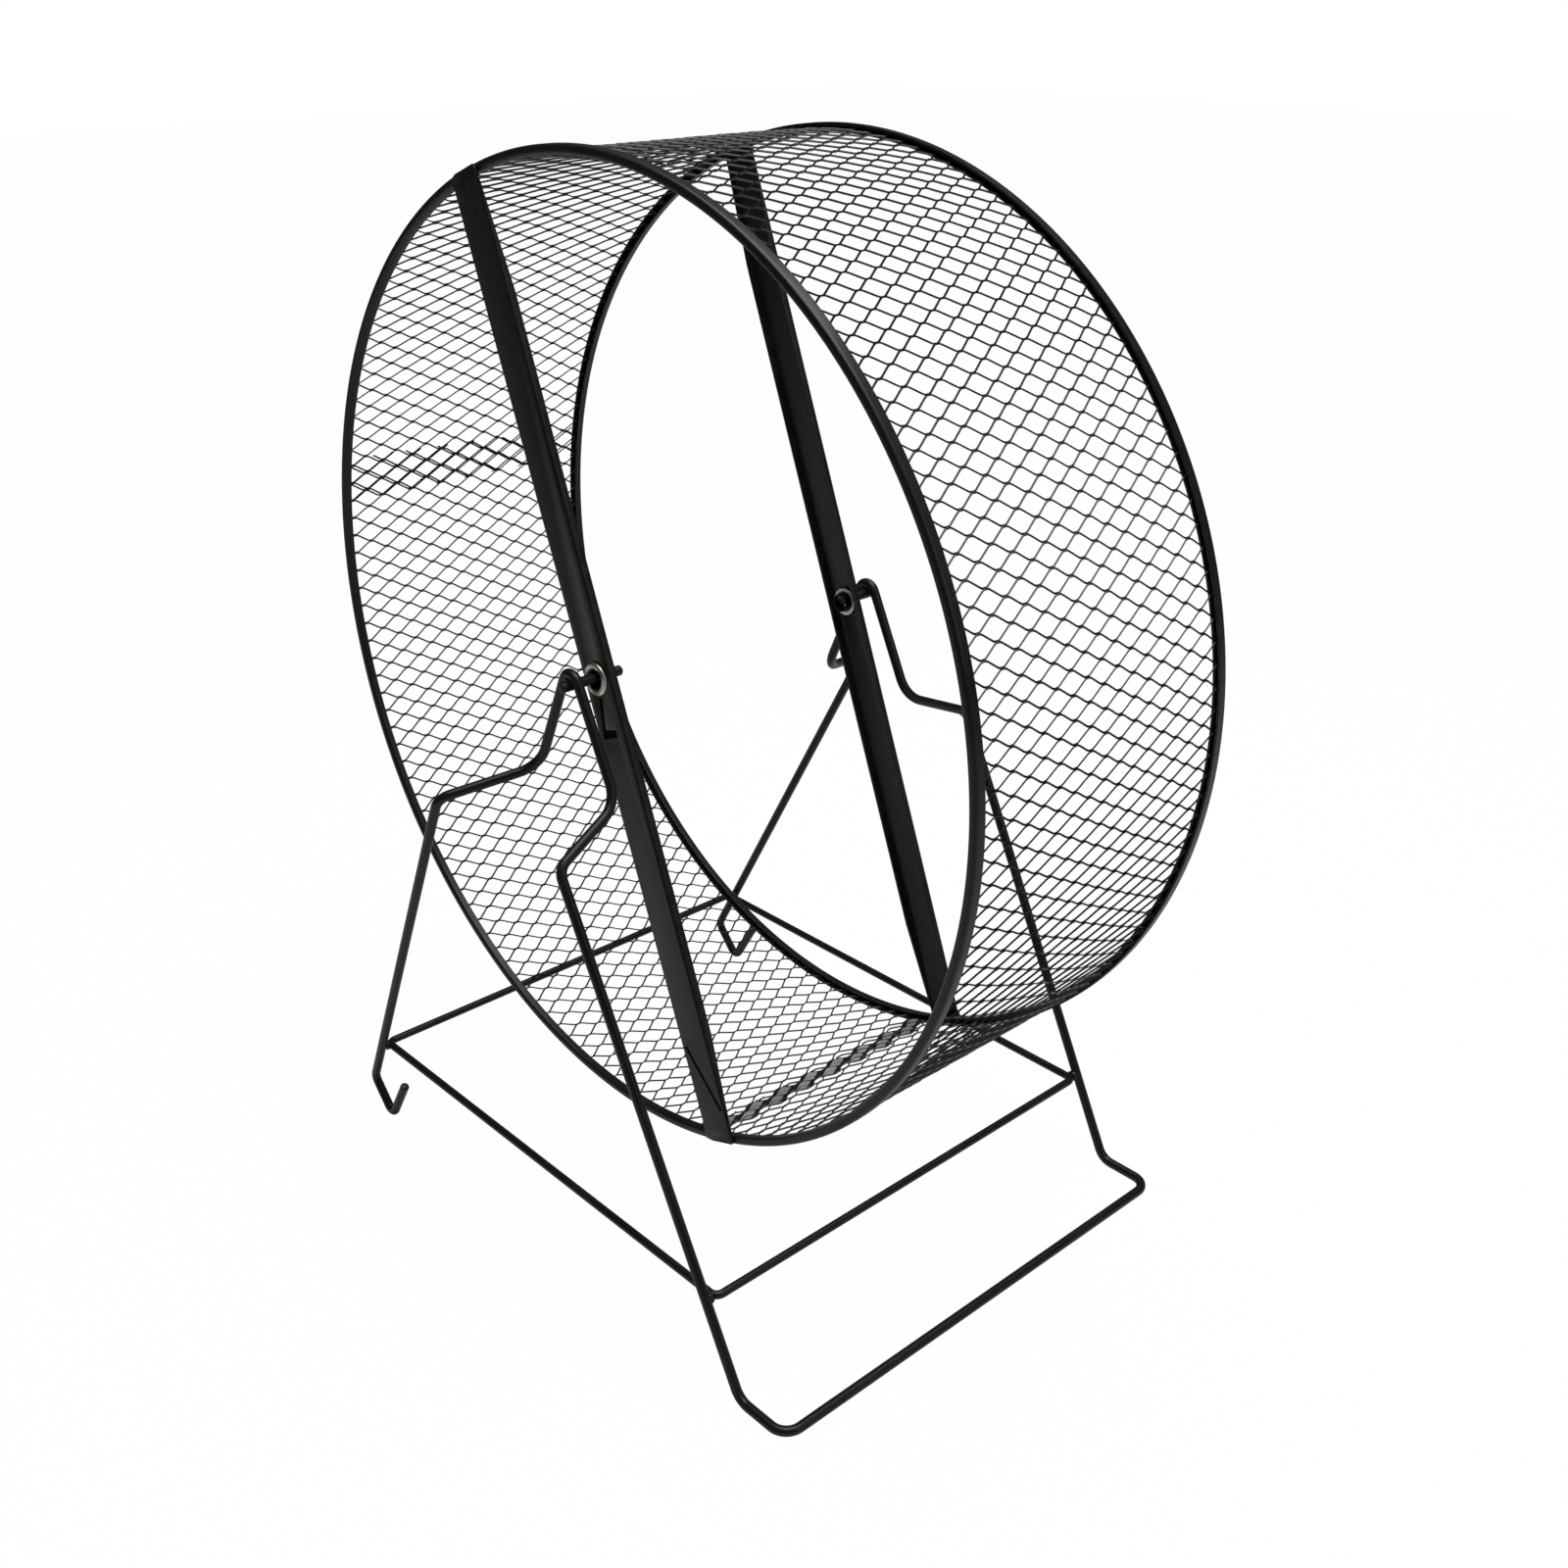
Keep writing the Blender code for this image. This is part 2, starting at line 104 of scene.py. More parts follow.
# Bend radii of the stand wire, to its middle
APEX_BEND = 3.5 * MM
NECK_BEND = 9.5 * MM
SHOULDER_BEND = 5.0 * MM
FOOT_BEND = 5.5 * MM
HEEL_BEND = 3.5 * MM
TOE_BEND = 2.75 * MM
BEND_STEP = math.radians(9.0)


# Sizes and colours that a user would change

def length(name, description, millimetres):
    return FloatProperty(name=name, description=description, default=millimetres * MM, min=0.0,
                         precision=5, unit="LENGTH", subtype="DISTANCE")


def angle(name, description, degrees):
    return FloatProperty(name=name, description=description, default=math.radians(degrees),
                         unit="ROTATION", subtype="ANGLE")


def share(name, description, default):
    return FloatProperty(name=name, description=description, default=default, min=0.0, max=1.0,
                         subtype="FACTOR")


def amount(name, description, default, unit="NONE"):
    return FloatProperty(name=name, description=description, default=default, min=0.0, unit=unit)


def count(name, description, default):
    return IntProperty(name=name, description=description, default=default, min=1)


def colour(name, description, default):
    return FloatVectorProperty(name=name, description=description, default=default, min=0.0, max=1.0,
                               size=3, subtype="COLOR")


class DrumSizes(bpy.types.PropertyGroup):
    rim_width: length("Rim width", "Width of the rolled rim along the axle", 3.2)
    rim_thickness: length("Rim thickness", "Radial thickness of the rolled rim", 2.7)
    rim_wall: length("Rim wall", "Sheet that the rim is rolled from", 0.65)
    rim_corner: length("Rim corner", "Rounding of the rim's outer corners", 1.0)
    rim_steps: count("Rim steps", "Facets round each rim", 288)
    cell_length: length("Cell length", "Long diagonal of a mesh cell, along the axle", 11.4)
    cells_around: count("Cells around", "Mesh cells round the whole drum", 143)
    short_cells: count("Short panel cells", "Mesh cells round the short panel", 49)
    upper_lap: amount("Upper lap", "Mesh cells that lie double at the upper lap", 1.95)
    lower_lap: amount("Lower lap", "Mesh cells that lie double at the lower lap", 1.5)
    strand: length("Strand width", "Width of a mesh strand", 0.42)
    sheet: length("Mesh sheet", "Sheet that the mesh is cut from", 0.42)
    bond: length("Bond length", "Solid part between two cells, along the axle", 1.3)
    tilt: angle("Bond tilt", "Turn of the strands out of the sheet", -42.0)
    film: length("Enamel film", "Thickness of the enamel that closes the cells at the lower lap", 0.15)
    film_width: share("Film width",
                      "Share of a closed cell that the film fills across the steep strands", 0.56)
    film_length: share("Film length",
                       "Share of a closed cell that the film fills along the steep strands", 0.93)
    short_start: angle("Short panel start", "Where the short panel begins, from the foot bar's side", 165.6)
    long_skew: angle("Long panel skew", "How far the long panel's rows run askew of the axle", -0.6)
    upper_skew: angle("Upper end skew", "How far the short panel's upper end is cut askew", 3.0)
    lower_skew: angle("Lower end skew", "How far the short panel's lower end is cut askew", 0.3)
    lap_slip: length("Lap slip", "How far the short panel's cells lie back from the long panel's", 1.2)
    edge_cover: length("Edge cover", "How far the mesh stops inside the rim's outer face", 1.2)
    lap_shift: length("Lap shift", "How far each panel lies off the middle of the rim", 0.3)
    unevenness: length("Unevenness", "How far the mesh wanders from a true cylinder", 0.5)


class StrapSizes(bpy.types.PropertyGroup):
    width: length("Width", "Width of the strap", 12.4)
    sheet: length("Sheet", "Sheet that the strap is folded from", 0.8)
    flange: length("Flange", "Depth of the folded edges behind the face", 2.0)
    front_fold: length("Front fold", "Outer radius of the front strap's folded edges", 0.55)
    back_fold: length("Back fold", "Outer radius of the back strap's folded edges", 1.8)
    end_setback: length("End setback", "How far the ends stop inside the rim's outer edge", 0.25)
    end_corner: length("End corner", "Rounding of the corners of the ends", 1.6)
    curl: length("Curl", "Length of each tip that bends over the rim's edge", 1.8)
    curl_depth: length("Curl depth", "How far each tip bends back", 0.7)
    flat_end: length("Flat end", "Length of each end without folded edges", 4.0)
    taper: length("Taper", "Length over which the folded edges grow", 30.0)
    taper_lip: length("Taper lip", "Depth of the folded edges where they begin", 0.9)
    crease: length("Crease", "Depth of the front strap's crease", 0.7)
    slot: length("Slot", "Depth of the slot round the front strap's tongue", 0.64)
    hole: length("Eyelet hole", "Radius of the hole for the eyelet", 3.2)


class HubSizes(bpy.types.PropertyGroup):
    bore: length("Bore", "Radius of the eyelet's bore", 2.3)
    flange: length("Flange", "Outer radius of the eyelet's flange", 4.9)
    clinch: length("Clinch", "Outer radius of the eyelet's clinched side", 4.4)
    wall: length("Wall", "Thickness of the eyelet's wall", 0.6)
    mouth: length("Mouth", "How far the bore widens at the eyelet's rolled face", 0.7)
    roll: length("Roll", "Rounding of the eyelet's rolled face", 0.75)
    edge: length("Edge", "Rounding of the eyelet's thin edges", 0.15)
    barrel_reach: length("Barrel reach", "How far the barrel stands out on the clinched side", 1.8)
    seat_gap: length("Seat gap", "Gap between the eyelet and the strap", 0.05)
    pin_reach: length("Pin reach", "How far the pin's outer end passes its CAD end", 1.0)
    pin: length("Pin", "Radius of the axle pins", 1.5)
    pin_chamfer: length("Pin chamfer", "Chamfer of the pin's ends", 0.35)
    weld: length("Weld", "Radius of the weld between a pin and the stand", 2.0)


class StandSizes(bpy.types.PropertyGroup):
    wire: length("Stand wire", "Radius of the stand's wire", 1.5)
    brace: length("Brace wire", "Radius of the brace's wire", 1.25)
    brace_corner: length("Brace corner", "Bend radius of the brace's corners", 2.5)
    sides: count("Sides", "Sides of the wires", 20)
    cut: length("Cut edge", "Rounding of the wire's cut ends", 0.5)
    weld: length("Weld", "Radius of the welds between the brace and the legs", 1.7)


class Finishes(bpy.types.PropertyGroup):
    enamel: colour("Enamel", "Black enamel of the wires, rims and mesh", (0.006, 0.006, 0.0062))
    strap_enamel: colour("Strap enamel", "Enamel of the straps", (0.0075, 0.0073, 0.0068))
    # Painted light: the film is black enamel like the rest, and this grey stands in for the light that shows
    # in the closed cells.
    film: colour("Enamel film", "Thin grey enamel in the cells that it closes", (0.24, 0.237, 0.235))
    worn: colour("Worn enamel", "Enamel that is rubbed thin along edges", (0.030, 0.029, 0.027))
    zinc: colour("Zinc", "Bright zinc of the eyelets", (0.68, 0.65, 0.60))
    tarnish: colour("Tarnish", "Dull patches on the zinc", (0.20, 0.18, 0.15))
    # Dark colour painted into the eyelets' bores, darkest inside the mouth.
    bore_dark: colour("Grease", "Dark grease in the bores of the eyelets", (0.012, 0.010, 0.008))
    gloss: share("Enamel roughness", "Roughness of the enamel", 0.34)
    zinc_gloss: share("Zinc roughness", "Roughness of the zinc", 0.36)


class StudioLooks(bpy.types.PropertyGroup):
    floor: colour("Floor", "Colour of the floor", (0.8, 0.8, 0.8))
    floor_size: length("Floor size", "Side of the floor", 9000.0)
    burnt_out: share("Burnt out", "How far the camera sees the floor as plain white", 0.985)
    surround: amount("Surround", "Strength of the light from all round", 0.06)
    overhead: amount("Overhead light", "Power of the soft light above", 14.0, "POWER")
    side: amount("Side light", "Power of the light on the foot bar's side", 1.5, "POWER")


class WheelSettings(bpy.types.PropertyGroup):
    drum: PointerProperty(name="Drum", description="Sizes of the rims and the mesh", type=DrumSizes)
    strap: PointerProperty(name="Straps", description="Sizes of the spoke straps", type=StrapSizes)
    hub: PointerProperty(name="Hub", description="Sizes of the eyelets and pins", type=HubSizes)
    stand: PointerProperty(name="Stand", description="Sizes of the stand", type=StandSizes)
    finish: PointerProperty(name="Finishes", description="Colours and gloss", type=Finishes)
    studio: PointerProperty(name="Studio", description="Floor and lights", type=StudioLooks)


def settings():
    return bpy.context.scene.hamster_wheel


# Modelling helpers

def leave_edit_mode():
    if bpy.context.object and bpy.context.object.mode == "EDIT":
        bpy.ops.object.mode_set(mode="OBJECT")


def edit_mode():
    bpy.ops.object.mode_set(mode="EDIT")


def select_all():
    bpy.ops.mesh.select_all(action="SELECT")


def edit_shape():
    """Put the new primitive's place and turn into its mesh, and select all of it in edit mode."""
    bpy.ops.object.transform_apply(location=True, rotation=True, scale=True)
    edit_mode()
    select_all()


def fresh_start():
    """Nothing selected and nothing in edit mode before a new primitive."""
    leave_edit_mode()
    bpy.ops.object.select_all(action="DESELECT")


def make_active(piece):
    fresh_start()
    piece.select_set(True)
    bpy.context.view_layer.objects.active = piece


def pick(test):
    """In edit mode, select just the vertices whose place passes the test, and what lies between them."""
    bpy.ops.mesh.select_all(action="DESELECT")
    mesh = bpy.context.object.data
    bm = bmesh.from_edit_mesh(mesh)
    for vert in bm.verts:
        if test(vert.co):
            vert.select = True
    bm.select_flush(True)
    bmesh.update_edit_mesh(mesh)


def pick_edges(test):
    """In edit mode, select just the edges whose two ends pass the test together."""
    bpy.ops.mesh.select_all(action="DESELECT")
    mesh = bpy.context.object.data
    bm = bmesh.from_edit_mesh(mesh)
    for edge in bm.edges:
        if test(edge.verts[0].co, edge.verts[1].co):
            edge.select = True
    bmesh.update_edit_mesh(mesh)


def near(a, b):
    return abs(a - b) < SAME_PLACE


def push(x=0.0, y=0.0, z=0.0):
    """Extrude what is selected along a straight line."""
    bpy.ops.mesh.extrude_region_move(TRANSFORM_OT_translate={"value": (x, y, z)})


def move(x=0.0, y=0.0, z=0.0):
    bpy.ops.transform.translate(value=(x, y, z))


def spin(turn, centre, axis, steps):
    """Spin what is selected by the right-hand rule; the operator turns the other way."""
    bpy.ops.mesh.spin(steps=steps, angle=-turn, center=centre, axis=axis)


def cut_plane(place, outwards, clear_outer=False):
    """In edit mode, cut all along a plane, and clear what lies outside it if asked."""
    select_all()
    bpy.ops.mesh.bisect(plane_co=place, plane_no=outwards, clear_outer=clear_outer)


def apply_modifier(kind, **values):
    """Add a modifier to the active piece with these values and apply it."""
    piece = bpy.context.object
    added = piece.modifiers.new(kind.title(), kind)
    for key, value in values.items():
        setattr(added, key, value)
    bpy.ops.object.modifier_apply(modifier=added.name)


def combine(piece, operation):
    """Join the new active shape to the piece, or cut it out of it, and delete the shape."""
    shape = bpy.context.object
    make_active(piece)
    apply_modifier("BOOLEAN", operation=operation, solver="EXACT", object=shape)
    bpy.data.objects.remove(shape, do_unlink=True)


def face_outwards(piece):
    """Turn a closed mesh the right way out."""
    bm = bmesh.new()
    bm.from_mesh(piece.data)
    if bm.calc_volume(signed=True) < 0:
        bmesh.ops.reverse_faces(bm, faces=bm.faces)
        bm.to_mesh(piece.data)
    bm.free()


def tidy_mesh():
    """In edit mode, merge what lies on the same place and point all faces outwards."""
    select_all()
    bpy.ops.mesh.remove_doubles(threshold=SAME_PLACE)
    select_all()
    bpy.ops.mesh.normals_make_consistent(inside=False)


# Least angles, in degrees, of the edges that stay sharp: on most pieces, and on the mesh and the eyelets
SHARP = 35.0
VERY_SHARP = 50.0


def finish_piece(name, body, nodes, material, sharp=SHARP):
    """Name the active piece, put its place into its mesh, paint it and hand it to its body."""
    leave_edit_mode()
    piece = bpy.context.object
    bpy.ops.object.transform_apply(location=True, rotation=True, scale=True)
    face_outwards(piece)
    piece.name = piece.data.name = name
    piece.data.materials.clear()
    piece.data.materials.append(material)
    bpy.ops.object.shade_smooth_by_angle(angle=math.radians(sharp))
    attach(piece, body)
    if nodes:
        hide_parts(*nodes)
    return piece


def mirror_to_front(piece):
    piece.data.transform(Matrix.Scale(-1, 4, (0, 1, 0)))
    piece.data.flip_normals()


def finish_pair(name, node, material, sharp=SHARP):
    """Finish the active back piece of the wheel, and a copy with its own mesh mirrored to the front."""
    make_active(finish_piece(name + "_back", "wheel", ["back_" + node], material, sharp))
    bpy.ops.object.duplicate()
    copy = bpy.context.object
    for key in list(copy.keys()):
        del copy[key]
    mirror_to_front(copy)
    finish_piece(name + "_front", "wheel", ["front_" + node], material, sharp)


def profile(points):
    """Chain of edges through (x, y) points at the axle's height, extruded from one point, in edit mode."""
    fresh_start()
    first = Vector((*points[0], AXLE_HEIGHT))
    bpy.ops.mesh.primitive_plane_add(size=MM, location=first, enter_editmode=True)
    select_all()
    bpy.ops.mesh.merge(type="CENTER")
    for before, after in zip(points, points[1:]):
        push(x=after[0] - before[0], y=after[1] - before[1])
    leave_edit_mode()
    edit_shape()


def round_corners(places, radius, steps):
    """Round the profile's corners at these (x, y) places."""
    pick(lambda co: any(near(co.x, x) and near(co.y, y) for x, y in places))
    bpy.ops.mesh.bevel(affect="VERTICES", offset=radius, offset_type="OFFSET", segments=steps)


def turn_profile(steps):
    """Turn the profile round the axle into a closed shape."""
    select_all()
    spin(FULL_TURN, (0, 0, AXLE_HEIGHT), (0, 1, 0), steps)
    tidy_mesh()


# Surface effects that several materials share

def effect_group(name, inputs, outputs):
    """Node group with float sockets; inputs are (name, default)."""
    tree = bpy.data.node_groups.new(name, "ShaderNodeTree")
    for socket, default in inputs:
        made = tree.interface.new_socket(name=socket, in_out="INPUT", socket_type="NodeSocketFloat")
        made.default_value = default
    for socket in outputs:
        tree.interface.new_socket(name=socket, in_out="OUTPUT", socket_type="NodeSocketFloat")
    return tree, tree.nodes.new("NodeGroupInput"), tree.nodes.new("NodeGroupOutput")


def feed(tree, socket, value):
    """Give a socket a number or a colour, or link another socket to it."""
    if isinstance(value, bpy.types.NodeSocket):
        tree.links.new(value, socket)
    else:
        socket.default_value = (*value, 1.0) if socket.type == "RGBA" else value


def add_node(tree, kind, **values):
    """New node whose inputs take these values, by name."""
    node = tree.nodes.new("ShaderNode" + kind)
    for name, value in values.items():
        feed(tree, node.inputs[name.title()], value)
    return node


def add_noise(tree, vector, scale, detail=3.0, roughness=0.5):
    noise = add_node(tree, "TexNoise", vector=vector, scale=scale, detail=detail, roughness=roughness)
    return noise.outputs["Fac"]


def add_math(tree, operation, first, second):
    """Math node; each side is a number or a socket."""
    node = tree.nodes.new("ShaderNodeMath")
    node.operation = operation
    feed(tree, node.inputs[0], first)
    feed(tree, node.inputs[1], second)
    return node.outputs[0]


def add_range(tree, value, given, wanted=(0.0, 1.0)):
    """Value with one (low, high) range mapped to another."""
    node = tree.nodes.new("ShaderNodeMapRange")
    for socket, number in zip(node.inputs, (value, *given, *wanted)):
        feed(tree, socket, number)
    return node.outputs[0]


def object_place(tree):
    return tree.nodes.new("ShaderNodeTexCoord").outputs["Object"]


# Scale of the enamel's mottle as a share of its grain's
MOTTLE_SHARE = 0.06


def grain_group():
    """Fine skin of sprayed enamel, and the slow mottle under it."""
    tree, given, out = effect_group("Enamel grain", [("Scale", 700.0)], ["Height", "Mottle"])
    place = object_place(tree)
    fine = add_noise(tree, place, given.outputs["Scale"], detail=2.0)
    coarser = add_math(tree, "MULTIPLY", given.outputs["Scale"], MOTTLE_SHARE)
    slow = add_noise(tree, place, coarser, detail=4.0)
    tree.links.new(fine, out.inputs["Height"])
    tree.links.new(slow, out.inputs["Mottle"])
    return tree


# How raised an edge is, and how strong the noise on it, from where wear begins to where it is full
RAISED = (0.51, 0.62)
BROKEN = (0.42, 0.66)


def wear_group():
    """Mask along raised edges, broken up by noise."""
    tree, given, out = effect_group("Edge wear", [("Amount", 0.5), ("Scale", 260.0)], ["Mask"])
    pointed = tree.nodes.new("ShaderNodeNewGeometry").outputs["Pointiness"]
    raised = add_range(tree, pointed, RAISED)
    noise = add_noise(tree, object_place(tree), given.outputs["Scale"], detail=5.0, roughness=0.65)
    broken = add_range(tree, noise, BROKEN)
    mask = add_math(tree, "MULTIPLY", raised, broken)
    mask = add_math(tree, "MULTIPLY", mask, given.outputs["Amount"])
    tree.links.new(mask, out.inputs["Mask"])
    return tree


# Scale of the scuffs along the straps as a share of that across them, and the noise that makes them
STREAK_SHARE = 0.12
SCUFFED = (0.5, 0.78)


def scuff_group():
    """Thin rubbed streaks along one direction and faint dust between them."""
    tree, given, out = effect_group("Scuffs", [("Scale", 60.0), ("Amount", 0.5)], ["Mask"])
    stretch = add_node(tree, "Mapping", vector=object_place(tree), scale=(1.0, 1.0, STREAK_SHARE),
                       rotation=(0.0, -STRAP_LEAN, 0.0))
    noise = add_noise(tree, stretch.outputs["Vector"], given.outputs["Scale"], detail=6.0, roughness=0.7)
    mask = add_range(tree, noise, SCUFFED)
    mask = add_math(tree, "MULTIPLY", mask, given.outputs["Amount"])
    tree.links.new(mask, out.inputs["Mask"])
    return tree


EFFECTS = {"Enamel grain": grain_group, "Edge wear": wear_group, "Scuffs": scuff_group}


def add_effect(tree, name, **values):
    """Place a shared effect in a material with its own values, building it the first time."""
    node = tree.nodes.new("ShaderNodeGroup")
    node.node_tree = bpy.data.node_groups.get(name) or EFFECTS[name]()
    for key, value in values.items():
        node.inputs[key.title()].default_value = value
    return node


def add_mix(tree, mask, first, second):
    """Colour mix; each side is a colour or a socket."""
    node = tree.nodes.new("ShaderNodeMix")
    node.data_type = "RGBA"
    tree.links.new(mask, node.inputs["Factor"])
    feed(tree, node.inputs[6], first)
    feed(tree, node.inputs[7], second)
    return node.outputs[2]


def add_bump(tree, height, strength, distance, normal):
    node = add_node(tree, "Bump", height=height, strength=strength, distance=distance)
    tree.links.new(node.outputs["Normal"], normal)


# Looks of the enamel that all its kinds share: shine, depth of the grain, and how the mottle lightens the
# colour and spreads the roughness
ENAMEL_SHINE = 0.28
ENAMEL_BUMP = 0.03 * MM
MOTTLE_LIFT = 1.7
MOTTLED_COLOUR = (0.35, 0.7)
MOTTLED_GLOSS = (0.3, 0.7)
GLOSS_SPREAD = (-0.05, 0.07)
SCUFF_ROUGHNESS = 0.25


def new_material(name):
    material = bpy.data.materials.new(name)
    material.use_nodes = True
    return material, material.node_tree, material.node_tree.nodes["Principled BSDF"]


def slot_shade_mask(tree, sizes):
    """Mask of the slot in the front strap, by its depth under the face, for the painted shade there."""
    place = add_node(tree, "SeparateXYZ", vector=object_place(tree))
    face, floor, inner = (depth - STRAP_FACE for depth in (0.0, sizes.slot, sizes.sheet))
    depth = floor - face
    under = add_range(tree, place.outputs["Y"], (face + depth / 4, face + depth / 2))
    outside = add_range(tree, place.outputs["Y"], (floor + (inner - floor) / 4, inner), (1.0, 0.0))
    return add_math(tree, "MULTIPLY", under, outside)


def enamel(name, base, grain, wear, scuffs, bump=0.25, shade_in_slot=False):
    """Satin black enamel over steel, with its own grain, edge wear and scuffs, and painted shade in the
    front strap's slot, where the enamel's reflection is taken away.
    """
    made = bpy.data.materials.get(name)
    if made:
        return made
    looks = settings().finish
    material, tree, shader = new_material(name)
    skin = add_effect(tree, "Enamel grain", scale=grain)
    rubbed = add_effect(tree, "Edge wear", amount=wear)
    streaks = add_effect(tree, "Scuffs", amount=scuffs)
    lighter = [MOTTLE_LIFT * value for value in base]
    mottled = add_range(tree, skin.outputs["Mottle"], MOTTLED_COLOUR)
    paint = add_mix(tree, mottled, base, lighter)
    paint = add_mix(tree, rubbed.outputs["Mask"], paint, looks.worn)
    paint = add_mix(tree, streaks.outputs["Mask"], paint, looks.worn)
    tree.links.new(paint, shader.inputs["Base Color"])
    spread = [looks.gloss + step for step in GLOSS_SPREAD]
    rough = add_range(tree, skin.outputs["Mottle"], MOTTLED_GLOSS, spread)
    scuffed = add_math(tree, "MULTIPLY", streaks.outputs["Mask"], SCUFF_ROUGHNESS)
    rough = add_math(tree, "ADD", rough, scuffed)
    tree.links.new(rough, shader.inputs["Roughness"])
    shader.inputs["Specular IOR Level"].default_value = ENAMEL_SHINE
    # Painted shade: the slot loses the enamel's reflection, so that it reads dark.
    if shade_in_slot:
        dull = add_range(tree, slot_shade_mask(tree, settings().strap), (0.0, 1.0), (ENAMEL_SHINE, 0.0))
        tree.links.new(dull, shader.inputs["Specular IOR Level"])
    add_bump(tree, skin.outputs["Height"], bump, ENAMEL_BUMP, shader.inputs["Normal"])
    return material


# Turning marks and dull patches on the zinc: how fine they are, how deep the marks are, and how strong the
# noise of the patches is and what roughness they add
MARK_SCALE = 5200.0
MARK_DEPTH = 0.02 * MM
MARK_STRENGTH = 0.35
PATCH_SCALE = 420.0
PATCHED = (0.45, 0.7)
PATCH_ROUGHNESS = 0.2


def bright_zinc():
    """Zinc plate with turning marks round the bore, dull patches, and a dark colour painted inside the bore.
    """
    made = bpy.data.materials.get("bright zinc")
    if made:
        return made
    looks = settings().finish
    material, tree, shader = new_material("bright zinc")
    flat = add_node(tree, "Mapping", vector=object_place(tree), scale=(1.0, 0.0, 1.0),
                    location=(0.0, 0.0, -AXLE_HEIGHT))
    radius = add_node(tree, "VectorMath", vector=flat.outputs["Vector"])
    radius.operation = "LENGTH"
    rings = add_node(tree, "TexNoise", scale=MARK_SCALE)
    rings.noise_dimensions = "1D"
    tree.links.new(radius.outputs["Value"], rings.inputs["W"])
    dull = add_noise(tree, object_place(tree), PATCH_SCALE, detail=4.0)
    patches = add_range(tree, dull, PATCHED)
    rubbed = add_effect(tree, "Edge wear", amount=0.3, scale=500.0)
    plate = add_mix(tree, patches, looks.zinc, looks.tarnish)
    plate = add_mix(tree, rubbed.outputs["Mask"], plate, looks.zinc)
    # Dark colour painted inside the bore's mouth, fading out over one more mouth's width.
    hub = settings().hub
    mouth = hub.bore + hub.mouth
    bore_dark_mask = add_range(tree, radius.outputs["Value"], (mouth, mouth + hub.mouth), (1.0, 0.0))
    plate = add_mix(tree, bore_dark_mask, plate, looks.bore_dark)
    tree.links.new(plate, shader.inputs["Base Color"])
    spread = (looks.zinc_gloss, looks.zinc_gloss + PATCH_ROUGHNESS)
    rough = add_range(tree, patches, (0.0, 1.0), spread)
    tree.links.new(rough, shader.inputs["Roughness"])
    shader.inputs["Metallic"].default_value = 1.0
    add_bump(tree, rings.outputs["Fac"], MARK_STRENGTH, MARK_DEPTH, shader.inputs["Normal"])
    return material


def wire_enamel():
    return enamel("stand enamel", settings().finish.enamel, grain=620.0, wear=0.35, scuffs=0.12)


def drum_enamel():
    return enamel("rim enamel", settings().finish.enamel, grain=520.0, wear=0.5, scuffs=0.2)


def mesh_enamel():
    return enamel("mesh enamel", settings().finish.enamel, grain=900.0, wear=0.12, scuffs=0.1, bump=0.15)


# The film's grey is painted light, in place of the light seen in the closed cells.
def film_painted_light_enamel():
    return enamel("film enamel", settings().finish.film, grain=900.0, wear=0.0, scuffs=0.3, bump=0.4)


def strap_enamel():
    return enamel("strap enamel", settings().finish.strap_enamel, grain=560.0, wear=0.5, scuffs=0.35,
                  shade_in_slot=True)


# Drum

RIM_CORNER_STEPS = 5


class HAMSTER_OT_rolled_rims(bpy.types.Operator):
    """Roll the two rims that hold the mesh"""
    bl_idname = "hamster.rolled_rims"
    bl_label = "Rolled Rims"

    def execute(self, context):
        sizes = settings().drum
        outer, face = DRUM_RADIUS, RIM_FACE
        inner = outer - sizes.rim_thickness
        mouth = face - sizes.rim_width
        lip = mouth + sizes.rim_wall
        corners = [(outer, face), (inner, face)]
        profile([(outer, mouth), *corners, (inner, lip)])
        round_corners(corners, sizes.rim_corner, RIM_CORNER_STEPS)
        turn_profile(sizes.rim_steps)
        leave_edit_mode()
        apply_modifier("SOLIDIFY", thickness=sizes.rim_wall, offset=-1.0, use_even_offset=True)
        finish_pair("rolled_rim", "rim", drum_enamel())
        return {"FINISHED"}


# Shares of a strand's run and climb that each of its parts takes: it leaves and meets the bonds flatly
STRAND_SHARES = ((0.16, 0.13), (0.68, 0.74), (0.16, 0.13))

# Cells of the flat mesh on each side of the middle, and cells more than the panel needs, before the cuts
CELLS_PAST_MIDDLE = 5
SPARE_CELLS = 3

# Fewest corners of a cell that enamel closes; all other faces of the flat mesh have fewer
CLOSED_CELL_CORNERS = 8

# Length over which the mesh wanders in and out
WANDER_LENGTH = 30.0 * MM


def bond_with_strands(sizes, rise):
    """One bond and the two strands that leave it towards the back, in the YZ plane and tilted about Y."""
    half = sizes.bond / 2
    fresh_start()
    bpy.ops.mesh.primitive_plane_add(size=1.0, rotation=(0, math.pi / 2, 0))
    edit_shape()
    bpy.ops.transform.resize(value=(1.0, sizes.bond, sizes.strand))
    move(z=sizes.strand / 2)
    pick(lambda co: near(co.z, 0))
    push(z=-sizes.strand)
    leave_edit_mode()
    tilt = Matrix.Rotation(sizes.tilt, 4, "Y")
    bpy.context.object.data.transform(tilt)
    edit_mode()
    across = tilt @ Vector((0, 0, sizes.strand))
    run = sizes.cell_length / 2 - sizes.bond
    climb = rise / 2 - across.z
    for sign in (1, -1):
        pick(lambda co: near(co.y, half) and (near(co.z, 0) or near(co.z, sign * across.z)))
        for y_share, z_share in STRAND_SHARES:
            push(x=-sign * across.x * z_share, y=run * y_share, z=sign * climb * z_share)


